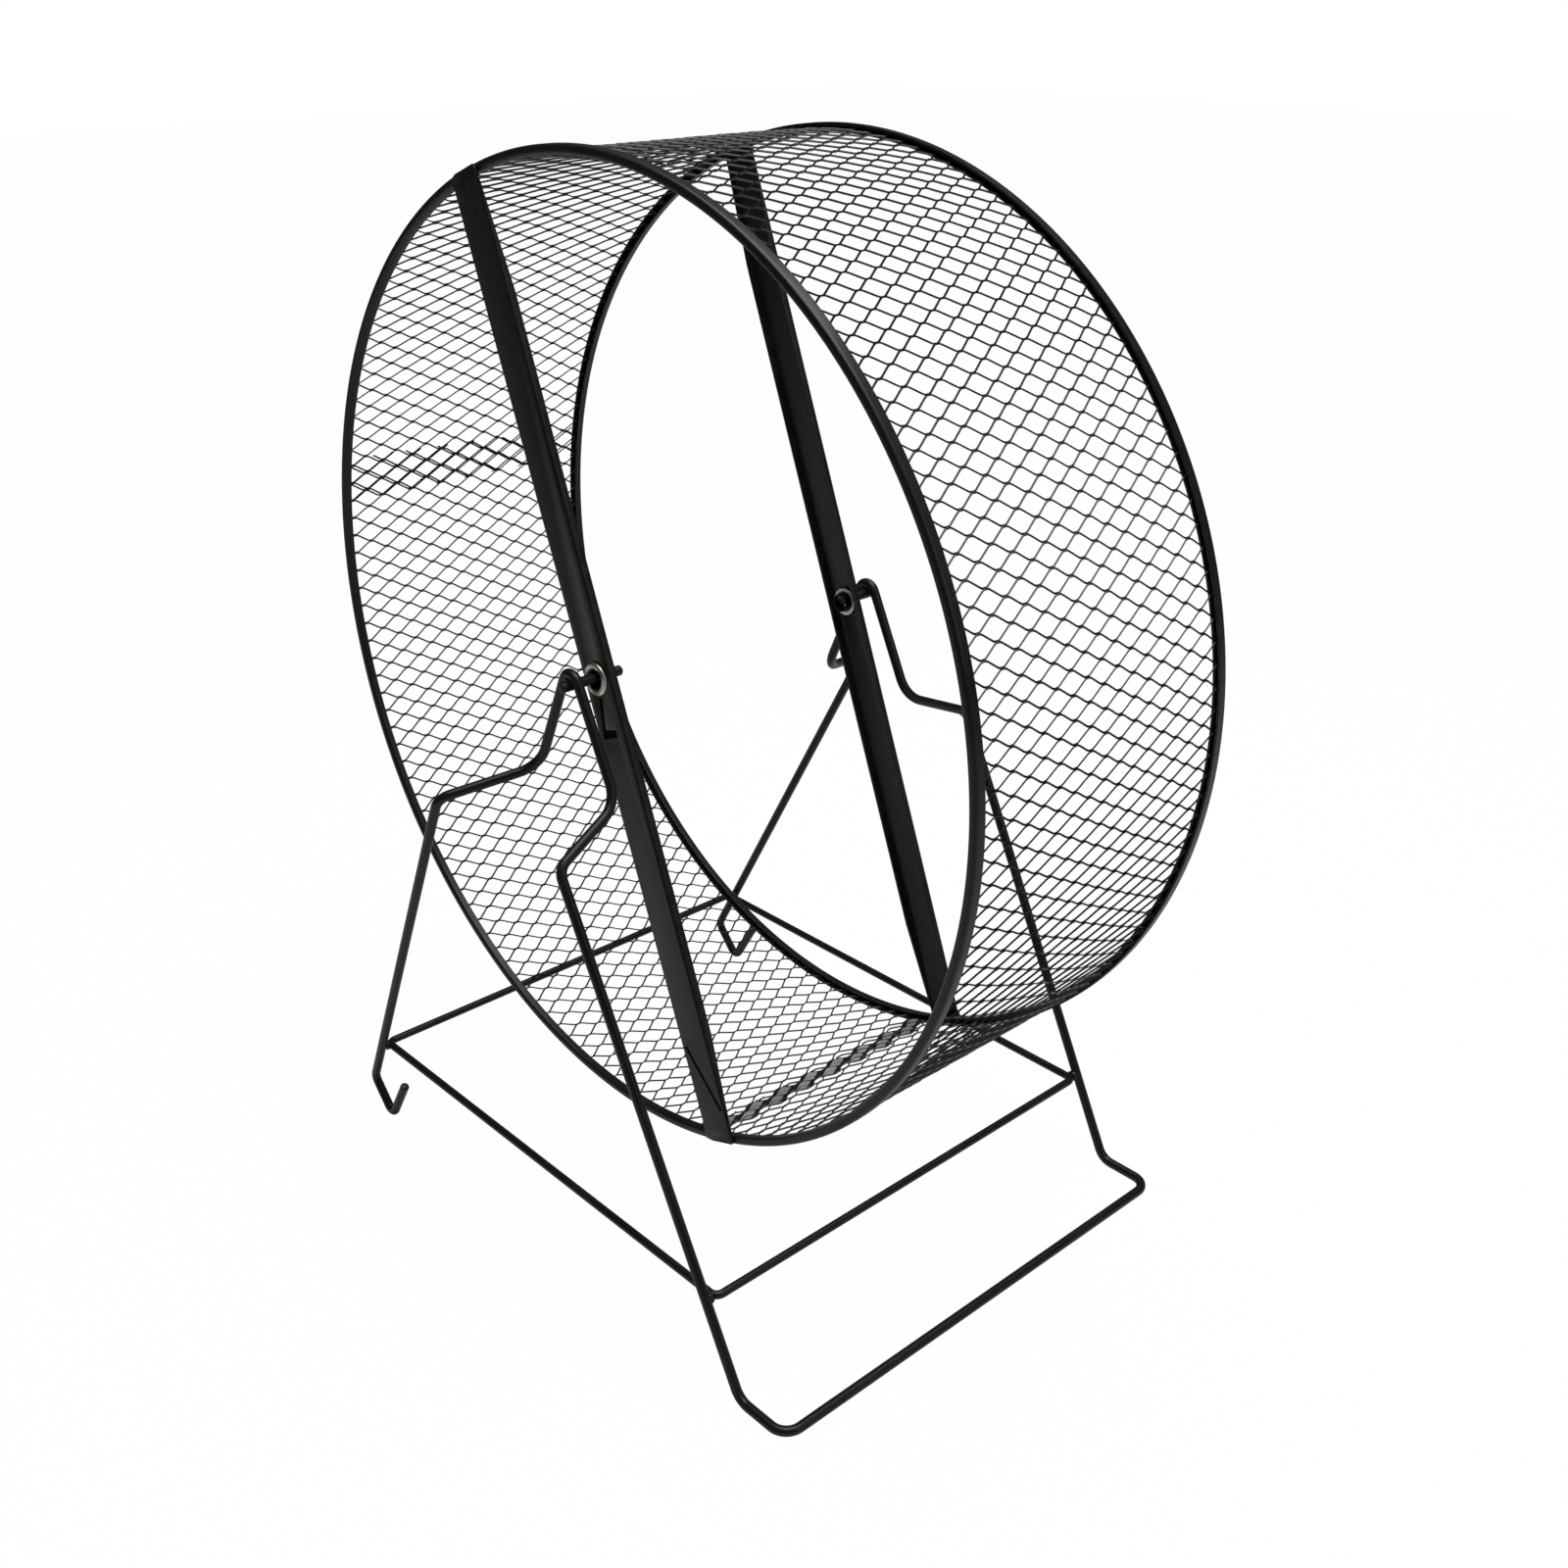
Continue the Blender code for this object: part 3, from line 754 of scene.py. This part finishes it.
def expanded_mesh(name, node, cells, start, turn, shift, slip=0.0, skew=0.0,
                  end_skews=(0.0, 0.0), filled=()):
    """Panel of expanded mesh: one bond, repeated, trimmed and rolled about the axle.

    Shift is outwards and slip is along the axle. Skew turns the rows askew of the axle, and end_skews the
    cuts at the two ends. Enamel closes the rows of cells that filled gives.
    """
    sizes = settings().drum
    radius = DRUM_RADIUS - sizes.rim_thickness / 2
    rise = turn * radius / cells
    bond_with_strands(sizes, rise)
    select_all()
    bpy.ops.mesh.duplicate_move(TRANSFORM_OT_translate={"value": (0, sizes.cell_length / 2, rise / 2)})
    select_all()
    move(y=slip - CELLS_PAST_MIDDLE * sizes.cell_length, z=-rise)
    leave_edit_mode()
    along = ((0, sizes.cell_length, 0), 2 * CELLS_PAST_MIDDLE)
    around = ((0, 0, rise), cells + SPARE_CELLS)
    for offset, times in (along, around):
        apply_modifier("ARRAY", use_relative_offset=False, use_constant_offset=True,
                       constant_offset_displace=offset, count=times)
    edit_mode()
    tidy_mesh()
    leave_edit_mode()
    piece = bpy.context.object
    lean = Matrix.Identity(4)
    lean[2][1] = math.tan(skew)
    piece.data.transform(lean)
    edit_mode()
    edge = RIM_FACE - sizes.edge_cover
    margin = sizes.strand
    first_cut, last_cut = (Vector((0, -math.sin(cut), math.cos(cut))) for cut in end_skews)
    for place, outwards in (((0, edge, 0), (0, 1, 0)), ((0, -edge, 0), (0, -1, 0)),
                            ((0, 0, -margin), -first_cut), ((0, 0, cells * rise + margin), last_cut)):
        cut_plane(place, outwards, clear_outer=True)
    for row in filled:
        pick(lambda co: abs(co.z - row * rise) < rise / 2 + sizes.strand)
        bpy.ops.mesh.fill_holes(sides=0)
    film = split_off_film(sizes, rise) if filled else None
    leave_edit_mode()
    roll_up(piece, sizes, radius, shift, start, sizes.sheet)
    finish_piece(name, "wheel", [node], mesh_enamel(), sharp=VERY_SHARP)
    if film:
        roll_up(film, sizes, radius, shift, start, sizes.film)
        finish_piece(name + "_film", "wheel", [], film_painted_light_enamel(), sharp=VERY_SHARP)


def split_off_film(sizes, rise):
    """In edit mode, leave thick enamel along the closed cells' steep strands, and split off the rest."""
    bpy.ops.mesh.select_all(action="DESELECT")
    piece = bpy.context.object
    bm = bmesh.from_edit_mesh(piece.data)
    for face in bm.faces:
        face.select_set(len(face.verts) > CLOSED_CELL_CORNERS)
    bmesh.update_edit_mesh(piece.data)
    bpy.ops.mesh.inset(thickness=0.0, use_individual=True)
    bm = bmesh.from_edit_mesh(piece.data)
    for face in bm.faces:
        if not face.select:
            continue
        centre = face.calc_center_median()
        for vert in face.verts:
            away = vert.co - centre
            steep = (away.y / sizes.cell_length - away.z / rise) / 2 * sizes.film_length
            flat = (away.y / sizes.cell_length + away.z / rise) / 2 * sizes.film_width
            vert.co.y = centre.y + (steep + flat) * sizes.cell_length
            vert.co.z = centre.z + (flat - steep) * rise
    bmesh.update_edit_mesh(piece.data)
    bpy.ops.mesh.separate(type="SELECTED")
    return next(thing for thing in bpy.context.selected_objects if thing != piece)


def roll_up(piece, sizes, radius, shift, start, thickness):
    """Let a flat panel wander a little, roll it about the axle and give it its thickness."""
    make_active(piece)
    wander = bpy.data.textures.get("mesh wander") or bpy.data.textures.new("mesh wander", "CLOUDS")
    wander.noise_scale = WANDER_LENGTH
    apply_modifier("DISPLACE", texture=wander, texture_coords="LOCAL", direction="X", mid_level=0.5,
                   strength=sizes.unevenness)
    around = [vert.co.z for vert in piece.data.vertices]
    apply_modifier("SIMPLE_DEFORM", deform_method="BEND", deform_axis="Y",
                   angle=-(max(around) - min(around)) / radius)
    piece.data.transform(Matrix.Translation((radius + shift, 0, 0)))
    piece.data.transform(Matrix.Rotation(-start, 4, "Y"))
    piece.data.transform(Matrix.Translation((0, 0, AXLE_HEIGHT)))
    apply_modifier("SOLIDIFY", thickness=thickness, offset=0.0)


class HAMSTER_OT_mesh_panels(bpy.types.Operator):
    """Roll the two lapped panels of expanded mesh, and close cells at one lap with enamel"""
    bl_idname = "hamster.mesh_panels"
    bl_label = "Mesh Panels"

    def execute(self, context):
        sizes = settings().drum
        cell = FULL_TURN / sizes.cells_around
        short_turn = sizes.short_cells * cell
        long_start = sizes.short_start + short_turn - sizes.lower_lap * cell
        long_turn = FULL_TURN - short_turn + (sizes.lower_lap + sizes.upper_lap) * cell
        expanded_mesh("expanded_mesh_short", "short_mesh_panel", sizes.short_cells, sizes.short_start,
                      short_turn, -sizes.lap_shift, sizes.lap_slip,
                      end_skews=(sizes.upper_skew, sizes.lower_skew),
                      filled=(sizes.short_cells - 0.5, sizes.short_cells - 1))
        expanded_mesh("expanded_mesh_long", "long_mesh_panel", math.ceil(long_turn / cell), long_start,
                      long_turn, sizes.lap_shift, skew=sizes.long_skew)
        return {"FINISHED"}


# Straps

# How the bend over the rim's edge is shared between the tip's two parts
CURL_SHARES = (0.3, 0.7)
FOLD_STEPS = 4

# Eyelet hole: its sides, and the drill's length in sheets
HOLE_SIDES = 48
DRILL_SHEETS = 10

# Rounding of the strap's edges, and the least angle of those that are rounded
SOFT_EDGE = 0.12 * MM
SOFT_STEPS = 2
SOFT_ANGLE = math.radians(50)


def folded_strap(sizes, fold):
    """Upright back strap whose side edges fold in towards the wheel, with flat ends."""
    half = sizes.width / 2
    end = DRUM_RADIUS - sizes.end_setback
    tip = end - sizes.curl / 2
    fold_end = end - sizes.flat_end
    full = fold_end - sizes.taper
    depth = sizes.sheet + sizes.flange
    fresh_start()
    bpy.ops.mesh.primitive_plane_add(size=1.0, rotation=(-math.pi / 2, 0, 0))
    edit_shape()
    bpy.ops.transform.resize(value=(sizes.width, 1.0, 2 * end))
    move(y=STRAP_FACE)
    for height in (end - sizes.curl, fold_end, full):
        for sign in (-1, 1):
            cut_plane((0, 0, sign * height), (0, 0, 1))
    for side in (-half, half):
        pick_edges(lambda a, b: near(a.x, side) and near(b.x, side)
                   and max(abs(a.z), abs(b.z)) < fold_end + SAME_PLACE)
        push(y=-depth)
    pick(lambda co: near(co.y, STRAP_FACE - depth) and near(abs(co.z), fold_end))
    move(y=depth - sizes.taper_lip)
    pick_edges(lambda a, b: near(abs(a.x), half) and near(a.x, b.x) and near(a.y, STRAP_FACE)
               and near(b.y, STRAP_FACE) and max(abs(a.z), abs(b.z)) < fold_end + SAME_PLACE)
    bpy.ops.mesh.bevel(affect="EDGES", offset=fold, offset_type="OFFSET", segments=FOLD_STEPS,
                       clamp_overlap=True)
    pick(lambda co: near(abs(co.x), half) and near(abs(co.z), end))
    bpy.ops.mesh.bevel(affect="VERTICES", offset=sizes.end_corner, offset_type="OFFSET",
                       segments=FOLD_STEPS)
    for height in (-tip, tip):
        cut_plane((0, 0, height), (0, 0, 1))
    for bend_share, past in zip(CURL_SHARES, (tip - SAME_PLACE, tip + SAME_PLACE)):
        pick(lambda co: abs(co.z) > past)
        move(y=-bend_share * sizes.curl_depth)
    leave_edit_mode()
    apply_modifier("SOLIDIFY", thickness=sizes.sheet, offset=-1.0, use_even_offset=True)


# The front strap's own marks, as shares of the strap's width from its middle and down from the hub: a
# crease near its lower end, and the slot beside and under the tongue below the eyelet
CREASE_SHARES = ((-0.35, 8.95), (0.4, 10.5))
SLOT_SHARES = ((-0.12, 0.44), (0.04, 0.44), (-0.17, 1.19), (0.25, 1.22), (0.22, 1.39), (-0.34, 1.41))


def score(sizes):
    """Cut the crease, a straight V, across the active strap's face."""
    start, end = (Vector((x * sizes.width, STRAP_FACE, -z * sizes.width)) for x, z in CREASE_SHARES)
    strap = bpy.context.object
    fresh_start()
    bpy.ops.mesh.primitive_cylinder_add(vertices=4, radius=sizes.crease, depth=(end - start).length,
                                        location=(start + end) / 2,
                                        rotation=(end - start).to_track_quat("Z", "Y").to_euler())
    combine(strap, "DIFFERENCE")


def free_tongue(sizes):
    """Press the slot round the tongue into the active strap's face."""
    strap = bpy.context.object
    fresh_start()
    bpy.ops.mesh.primitive_circle_add(vertices=len(SLOT_SHARES), radius=1.0, fill_type="NGON",
                                      rotation=(math.pi / 2, 0, 0))
    bpy.ops.object.transform_apply(rotation=True)
    for vert, (x, z) in zip(bpy.context.object.data.vertices, SLOT_SHARES):
        vert.co = (x * sizes.width, STRAP_FACE - sizes.slot, -z * sizes.width)
    edit_mode()
    select_all()
    push(y=sizes.slot + sizes.sheet)
    tidy_mesh()
    leave_edit_mode()
    combine(strap, "DIFFERENCE")


def punch_and_lean(sizes):
    """Give the strap its eyelet hole, soft edges and its lean."""
    strap = bpy.context.object
    drill = DRILL_SHEETS * sizes.sheet
    bpy.ops.mesh.primitive_cylinder_add(vertices=HOLE_SIDES, radius=sizes.hole, depth=drill,
                                        location=(0, STRAP_FACE, 0), rotation=(math.pi / 2, 0, 0))
    combine(strap, "DIFFERENCE")
    apply_modifier("BEVEL", width=SOFT_EDGE, segments=SOFT_STEPS, limit_method="ANGLE",
                   angle_limit=SOFT_ANGLE)
    strap.data.transform(Matrix.Translation((0, 0, AXLE_HEIGHT)) @ Matrix.Rotation(-STRAP_LEAN, 4, "Y"))


class HAMSTER_OT_spoke_straps(bpy.types.Operator):
    """Fold the two straps that carry the hub"""
    bl_idname = "hamster.spoke_straps"
    bl_label = "Spoke Straps"

    def execute(self, context):
        sizes = settings().strap
        folded_strap(sizes, sizes.front_fold)
        free_tongue(sizes)
        score(sizes)
        punch_and_lean(sizes)
        mirror_to_front(bpy.context.object)
        finish_piece("folded_strap_front", "wheel", ["front_spoke_strap"], strap_enamel())
        folded_strap(sizes, sizes.back_fold)
        punch_and_lean(sizes)
        finish_piece("folded_strap_back", "wheel", ["back_spoke_strap"], strap_enamel())
        return {"FINISHED"}


# Hub

EYELET_SIDES = 72
ROLL_STEPS = 5
LIP_STEPS = 4
EDGE_STEPS = 2
PIN_SIDES = 32
WELD_STEPS = 3

# Rounding of the barrel's and the clinch's ends as a share of the wall
LIP_SHARE = 1 / 2.2

# Radii of the welds as shares of their size
PIN_WELD_SHARES = (1.1, 0.8, 0.7)
BRACE_WELD_SHARES = (1.15, 0.75, 1.0)


class HAMSTER_OT_hub_eyelets(bpy.types.Operator):
    """Turn the two bright eyelets"""
    bl_idname = "hamster.hub_eyelets"
    bl_label = "Hub Eyelets"

    def execute(self, context):
        sizes = settings().hub
        bore, wall = sizes.bore, sizes.wall
        barrel = bore + wall
        mouth = bore + sizes.mouth
        sheet = settings().strap.sheet
        seat = STRAP_FACE + sizes.seat_gap
        clinch = STRAP_FACE - sheet - sizes.seat_gap
        throat = STRAP_FACE - sheet / 2
        inside = EYELET_INSIDE - sizes.barrel_reach
        corners = [(bore, inside), (bore, throat), (mouth, EYELET_FACE), (sizes.flange, EYELET_FACE),
                   (sizes.flange, seat), (barrel, seat), (barrel, clinch), (sizes.clinch, clinch),
                   (sizes.clinch, EYELET_INSIDE), (barrel, EYELET_INSIDE), (barrel, inside)]
        profile(corners)
        pick(lambda co: near(co.y, inside))
        bpy.ops.mesh.edge_face_add()
        round_corners([(mouth, EYELET_FACE), (sizes.flange, EYELET_FACE)], sizes.roll, ROLL_STEPS)
        ends = [(bore, inside), (barrel, inside), (sizes.clinch, EYELET_INSIDE)]
        round_corners(ends, LIP_SHARE * wall, LIP_STEPS)
        round_corners([(sizes.flange, seat), (sizes.clinch, clinch)], sizes.edge, EDGE_STEPS)
        turn_profile(EYELET_SIDES)
        finish_pair("bright_eyelet", "hub_eyelet", bright_zinc(), VERY_SHARP)
        return {"FINISHED"}


def rod(radius, chamfer, start, end, sides):
    """Rod along Y between two places at the pin's height, with chamfered ends."""
    fresh_start()
    bpy.ops.mesh.primitive_circle_add(vertices=sides, radius=radius - chamfer, fill_type="NGON",
                                      location=(0, start, PIN_HEIGHT), rotation=(-math.pi / 2, 0, 0))
    edit_shape()
    wide = radius / (radius - chamfer)
    centre = [0.0, start, PIN_HEIGHT]
    for step, grow in ((chamfer, wide), (end - start - 2 * chamfer, 1.0), (chamfer, 1 / wide)):
        push(y=step)
        centre[1] += step
        bpy.ops.transform.resize(value=(grow, 1.0, grow), center_override=centre)
    tidy_mesh()
    leave_edit_mode()


def add_weld(centre, radii):
    """Rounded lump of weld, joined to the active piece by a Boolean."""
    piece = bpy.context.object
    bpy.ops.mesh.primitive_ico_sphere_add(subdivisions=WELD_STEPS, radius=1.0, location=centre, scale=radii)
    combine(piece, "UNION")


class HAMSTER_OT_axle_pins(bpy.types.Operator):
    """Cut the two axle pins and weld them under the stand's apexes"""
    bl_idname = "hamster.axle_pins"
    bl_label = "Axle Pins"

    def execute(self, context):
        sizes = settings().hub
        weld = [weld_share * sizes.weld for weld_share in PIN_WELD_SHARES]
        outer = PIN_HIGH.y + sizes.pin_reach
        ends = (("axle_pin_back", "back_axle_pin", PIN_LOW.y, outer, 1),
                ("axle_pin_front", "front_axle_pin", -outer, FRONT_PIN_END, -1))
        for name, node, start, end, side in ends:
            rod(sizes.pin, sizes.pin_chamfer, start, end, PIN_SIDES)
            add_weld((0, side * NECK_SIDE, PIN_HEIGHT + sizes.pin), weld)
            finish_piece(name, "stand", [node], wire_enamel())
        return {"FINISHED"}


# Stand

def apex_corner():
    wire = settings().stand.wire
    bend_middle = PIN_HIGH.z + PIN_GAP + wire - APEX_BEND
    return Vector((0, NECK_SIDE, bend_middle + APEX_BEND / math.sin(NECK_LEAN)))


def neck_foot(sign):
    apex = apex_corner()
    height = AXLE_HEIGHT - NECK_DROP
    return Vector((sign * (apex.z - height) * math.tan(NECK_LEAN), NECK_SIDE, height))


def right_leg():
    """Top and bottom corners of the back leg on the foot bar's side."""
    top = Vector((SHOULDER_RIGHT_X, NECK_SIDE + SHOULDER_RIGHT_REACH, AXLE_HEIGHT - SHOULDER_RIGHT_DROP))
    bottom = Vector((FOOT_KINK_X, NECK_SIDE + FOOT_REACH, settings().stand.wire))
    return top, bottom


def hook_corners():
    """Heel, toe and tip of the back hook; the bend at the toe touches the floor."""
    to_heel = Vector((-math.cos(HOOK_HEEL_ANGLE), 0, math.sin(HOOK_HEEL_ANGLE)))
    to_tip = Vector((math.cos(HOOK_TIP_ANGLE), 0, math.sin(HOOK_TIP_ANGLE)))
    half = to_heel.angle(to_tip) / 2
    middle_rise = (to_heel + to_tip).normalized().z * TOE_BEND / math.sin(half)
    height = settings().stand.wire + TOE_BEND - middle_rise
    toe = Vector((HOOK_TOE_X, NECK_SIDE + HOOK_REACH, height))
    return toe + to_heel * HOOK_HEEL_RUN, toe, toe + to_tip * HOOK_TIP_RUN


def left_leg():
    top = Vector((SHOULDER_LEFT_X, NECK_SIDE + SHOULDER_LEFT_REACH, AXLE_HEIGHT - SHOULDER_LEFT_DROP))
    return top, hook_corners()[0]


def leg_at(leg, height):
    top, bottom = leg
    return top.lerp(bottom, (top.z - height) / (top.z - bottom.z))


def bent_wire(corners, radius, sides):
    """Wire pushed straight along each run and spun round each bend; corners are (place, bend radius)."""
    here = corners[0][0]
    onward = (corners[1][0] - here).normalized()
    fresh_start()
    bpy.ops.mesh.primitive_circle_add(vertices=sides, radius=radius, location=here,
                                      rotation=onward.to_track_quat("Z", "Y").to_euler())
    edit_shape()
    for (corner, bend_radius), (after, _) in zip(corners[1:], corners[2:]):
        back = (here - corner).normalized()
        onward = (after - corner).normalized()
        half = back.angle(onward) / 2
        reach = bend_radius / math.tan(half)
        push(*(corner + back * reach - here))
        centre = corner + (back + onward).normalized() * (bend_radius / math.sin(half))
        turn = math.pi - 2 * half
        spin(turn, centre, onward.cross(back), max(2, math.ceil(turn / BEND_STEP)))
        here = corner + onward * reach
    push(*(corners[-1][0] - here))


# Steps that round off a cut end: share of the rounding's length, and share of the radius that is left
CUT_SHARES = ((0.6, 0.85), (0.4, 0.5))


def close_end(centre, direction, rounding):
    """Round off the selected cut end of a wire and close it."""
    for step_share, radius_share in CUT_SHARES:
        step = direction * rounding * step_share
        push(*step)
        centre = centre + step
        bpy.ops.transform.resize(value=(radius_share,) * 3, center_override=centre)
    bpy.ops.mesh.edge_face_add()


class HAMSTER_OT_stand_wire(bpy.types.Operator):
    """Bend the stand from one wire, hook to hook"""
    bl_idname = "hamster.stand_wire"
    bl_label = "Stand Wire"

    def execute(self, context):
        sizes = settings().stand
        right_top, kink = right_leg()
        left_top, heel = left_leg()
        toe, tip = hook_corners()[1:]
        middle = Vector((FOOT_BAR_X, 0, kink.z))
        to_tip = (tip - toe).normalized()
        corners = [(middle, 0), (Vector((FOOT_BAR_X, kink.y, kink.z)), FOOT_BEND), (kink, FOOT_BEND),
                   (right_top, SHOULDER_BEND), (neck_foot(1), NECK_BEND), (apex_corner(), APEX_BEND),
                   (neck_foot(-1), NECK_BEND), (left_top, SHOULDER_BEND), (heel, HEEL_BEND), (toe, TOE_BEND),
                   (tip - to_tip * sizes.cut, 0)]
        bent_wire(corners, sizes.wire, sizes.sides)
        close_end(corners[-1][0], to_tip, sizes.cut)
        leave_edit_mode()
        apply_modifier("MIRROR", use_axis=(False, True, False), use_mirror_merge=True,
                       merge_threshold=SAME_PLACE)
        edit_mode()
        tidy_mesh()
        finish_piece("bent_stand_wire", "stand", ["stand_wire"], wire_enamel())
        return {"FINISHED"}


class HAMSTER_OT_brace_loop(bpy.types.Operator):
    """Bend the rectangular brace and weld it inside the legs"""
    bl_idname = "hamster.brace_loop"
    bl_label = "Brace Loop"

    def execute(self, context):
        sizes = settings().stand
        left = leg_at(left_leg(), BRACE_HEIGHT)
        right = leg_at(right_leg(), BRACE_HEIGHT)
        seat = sizes.brace_corner + sizes.brace + PIN_GAP + sizes.wire
        along = sizes.brace_corner - seat * math.sin(BRACE_TOUCH)
        across = sizes.brace_corner - seat * math.cos(BRACE_TOUCH)
        side = min(left.y, right.y) + across
        places = [(left.x - along, -side), (right.x + along, -side), (right.x + along, side),
                  (left.x - along, side)]
        corners = [(Vector((x, y, BRACE_HEIGHT)), sizes.brace_corner) for x, y in places]
        start = corners[3][0].lerp(corners[0][0], 0.5)
        bent_wire([(start, 0), *corners, (start, 0)], sizes.brace, sizes.sides)
        tidy_mesh()
        leave_edit_mode()
        face_outwards(bpy.context.object)
        welds = [(leg, sign) for leg in (left, right) for sign in (1, -1)]
        for leg, sign in welds:
            inwards = -1 if leg.x > 0 else 1
            touch = Vector((inwards * math.sin(BRACE_TOUCH), -math.cos(BRACE_TOUCH), 0))
            centre = leg + touch * (sizes.wire + PIN_GAP / 2)
            centre.y *= sign
            add_weld(centre, [weld_share * sizes.weld for weld_share in BRACE_WELD_SHARES])
        finish_piece("brace_loop_wire", "stand", ["brace_loop"], wire_enamel())
        return {"FINISHED"}


# Studio

# Camera that was solved from the rims and the stand in the photo
CAMERA_PLACE = (0.37374, -0.31683, 0.36028)
CAMERA_RIGHT = (0.67359, 0.73907, -0.00740)
CAMERA_DOWN = (0.30608, -0.28804, -0.90738)
CAMERA_FORWARD = (-0.67275, 0.60894, -0.42024)
CAMERA_LENS = 40.04
CAMERA_CLIP = 0.01
SENSOR = 36.0

# The two soft lights: place, and span of their faces
OVERHEAD_PLACE = (0.1, 0.1, 1.2)
OVERHEAD_SPAN = (0.9, 0.9)
SIDE_PLACE = (1.1, 0.3, 0.7)
SIDE_SPAN = (0.5, 0.7)
WARM_WHITE = (1.0, 0.99, 0.97)
WHITE = (1.0, 1.0, 1.0)

# Floor: fineness of its faint mottle, how dark that gets, and its roughness
FLOOR_GRAIN = 40.0
FLOOR_SHADE = 0.98
FLOOR_ROUGHNESS = 0.8


def add_light(name, place, target, size, power, tint):
    lamp = bpy.data.lights.new(name, "AREA")
    lamp.shape = "RECTANGLE"
    lamp.size, lamp.size_y = size
    lamp.energy = power
    lamp.color = tint
    light = bpy.data.objects.new(name, lamp)
    bpy.context.scene.collection.objects.link(light)
    light.location = place
    light.rotation_euler = (Vector(target) - Vector(place)).to_track_quat("-Z", "Y").to_euler()


def show_camera(tree, out, lit, seen, seen_share=1.0):
    """Let one shader light the scene and show the camera another, by a share."""
    path = tree.nodes.new("ShaderNodeLightPath")
    mixed = tree.nodes.new("ShaderNodeMixShader")
    by_camera = add_math(tree, "MULTIPLY", path.outputs["Is Camera Ray"], seen_share)
    for socket, value in zip(mixed.inputs, (by_camera, lit.outputs[0], seen.outputs[0])):
        tree.links.new(value, socket)
    tree.links.new(mixed.outputs[0], out.inputs["Surface"])


def pale_floor(looks):
    """Matt pale floor that the camera sees almost burnt out, so that shadows stay faint."""
    material, tree, shader = new_material("pale floor")
    mottle = add_noise(tree, object_place(tree), FLOOR_GRAIN, detail=3.0)
    shaded = [FLOOR_SHADE * value for value in looks.floor]
    tone = add_mix(tree, mottle, shaded, looks.floor)
    tree.links.new(tone, shader.inputs["Base Color"])
    shader.inputs["Roughness"].default_value = FLOOR_ROUGHNESS
    white = add_node(tree, "Emission", color=WHITE)
    show_camera(tree, tree.nodes["Material Output"], shader, white, looks.burnt_out)
    return material


def white_surround(strength):
    """World that the camera sees as white and that lights the object more softly."""
    world = bpy.data.worlds.new("white surround")
    bpy.context.scene.world = world
    world.use_nodes = True
    tree = world.node_tree
    tree.nodes.clear()
    lit, seen = (add_node(tree, "Background", color=WHITE, strength=value) for value in (strength, 1.0))
    show_camera(tree, tree.nodes.new("ShaderNodeOutputWorld"), lit, seen)


class HAMSTER_OT_studio(bpy.types.Operator):
    """Lay the pale floor and set the lights and the camera"""
    bl_idname = "hamster.studio"
    bl_label = "Studio"

    def execute(self, context):
        looks = settings().studio
        fresh_start()
        bpy.ops.mesh.primitive_plane_add(size=looks.floor_size)
        floor = bpy.context.object
        floor.name = floor.data.name = "studio_floor"
        floor.data.materials.append(pale_floor(looks))
        middle = (0, 0, AXLE_HEIGHT)
        add_light("overhead light", OVERHEAD_PLACE, middle, OVERHEAD_SPAN, looks.overhead, WARM_WHITE)
        add_light("side light", SIDE_PLACE, middle, SIDE_SPAN, looks.side, WHITE)
        white_surround(looks.surround)
        lens = bpy.data.cameras.new("photo camera")
        lens.lens = CAMERA_LENS
        lens.sensor_width = SENSOR
        lens.clip_start = CAMERA_CLIP
        camera = bpy.data.objects.new("photo camera", lens)
        context.scene.collection.objects.link(camera)
        right, down, forward = (Vector(v) for v in (CAMERA_RIGHT, CAMERA_DOWN, CAMERA_FORWARD))
        turn = Matrix((right, -down, -forward)).transposed()
        camera.matrix_world = Matrix.Translation(CAMERA_PLACE) @ turn.to_4x4()
        context.scene.camera = camera
        context.scene.view_settings.view_transform = "Standard"
        return {"FINISHED"}


class HAMSTER_PT_builder(bpy.types.Panel):
    """Sidebar panel with one button for each step"""
    bl_label = "Hamster Wheel"
    bl_idname = "HAMSTER_PT_builder"
    bl_space_type = "VIEW_3D"
    bl_region_type = "UI"
    bl_category = "Hamster Wheel"

    def draw(self, context):
        for step in STEPS:
            self.layout.operator(step.bl_idname)


STEPS = (HAMSTER_OT_rolled_rims, HAMSTER_OT_mesh_panels, HAMSTER_OT_spoke_straps, HAMSTER_OT_hub_eyelets,
         HAMSTER_OT_axle_pins, HAMSTER_OT_stand_wire, HAMSTER_OT_brace_loop, HAMSTER_OT_studio)
GROUPS = (DrumSizes, StrapSizes, HubSizes, StandSizes, Finishes, StudioLooks, WheelSettings)


def register():
    for made in (*GROUPS, *STEPS, HAMSTER_PT_builder):
        bpy.utils.register_class(made)
    bpy.types.Scene.hamster_wheel = PointerProperty(
        name="Hamster wheel", description="Sizes and colours of the wheel", type=WheelSettings)


def unregister():
    del bpy.types.Scene.hamster_wheel
    for made in reversed((*GROUPS, *STEPS, HAMSTER_PT_builder)):
        bpy.utils.unregister_class(made)


def main():
    register()
    bpy.ops.hamster.rolled_rims()
    bpy.ops.hamster.mesh_panels()
    bpy.ops.hamster.spoke_straps()
    bpy.ops.hamster.hub_eyelets()
    bpy.ops.hamster.axle_pins()
    bpy.ops.hamster.stand_wire()
    bpy.ops.hamster.brace_loop()
    bpy.ops.hamster.studio()


if __name__ == "__main__":
    main()
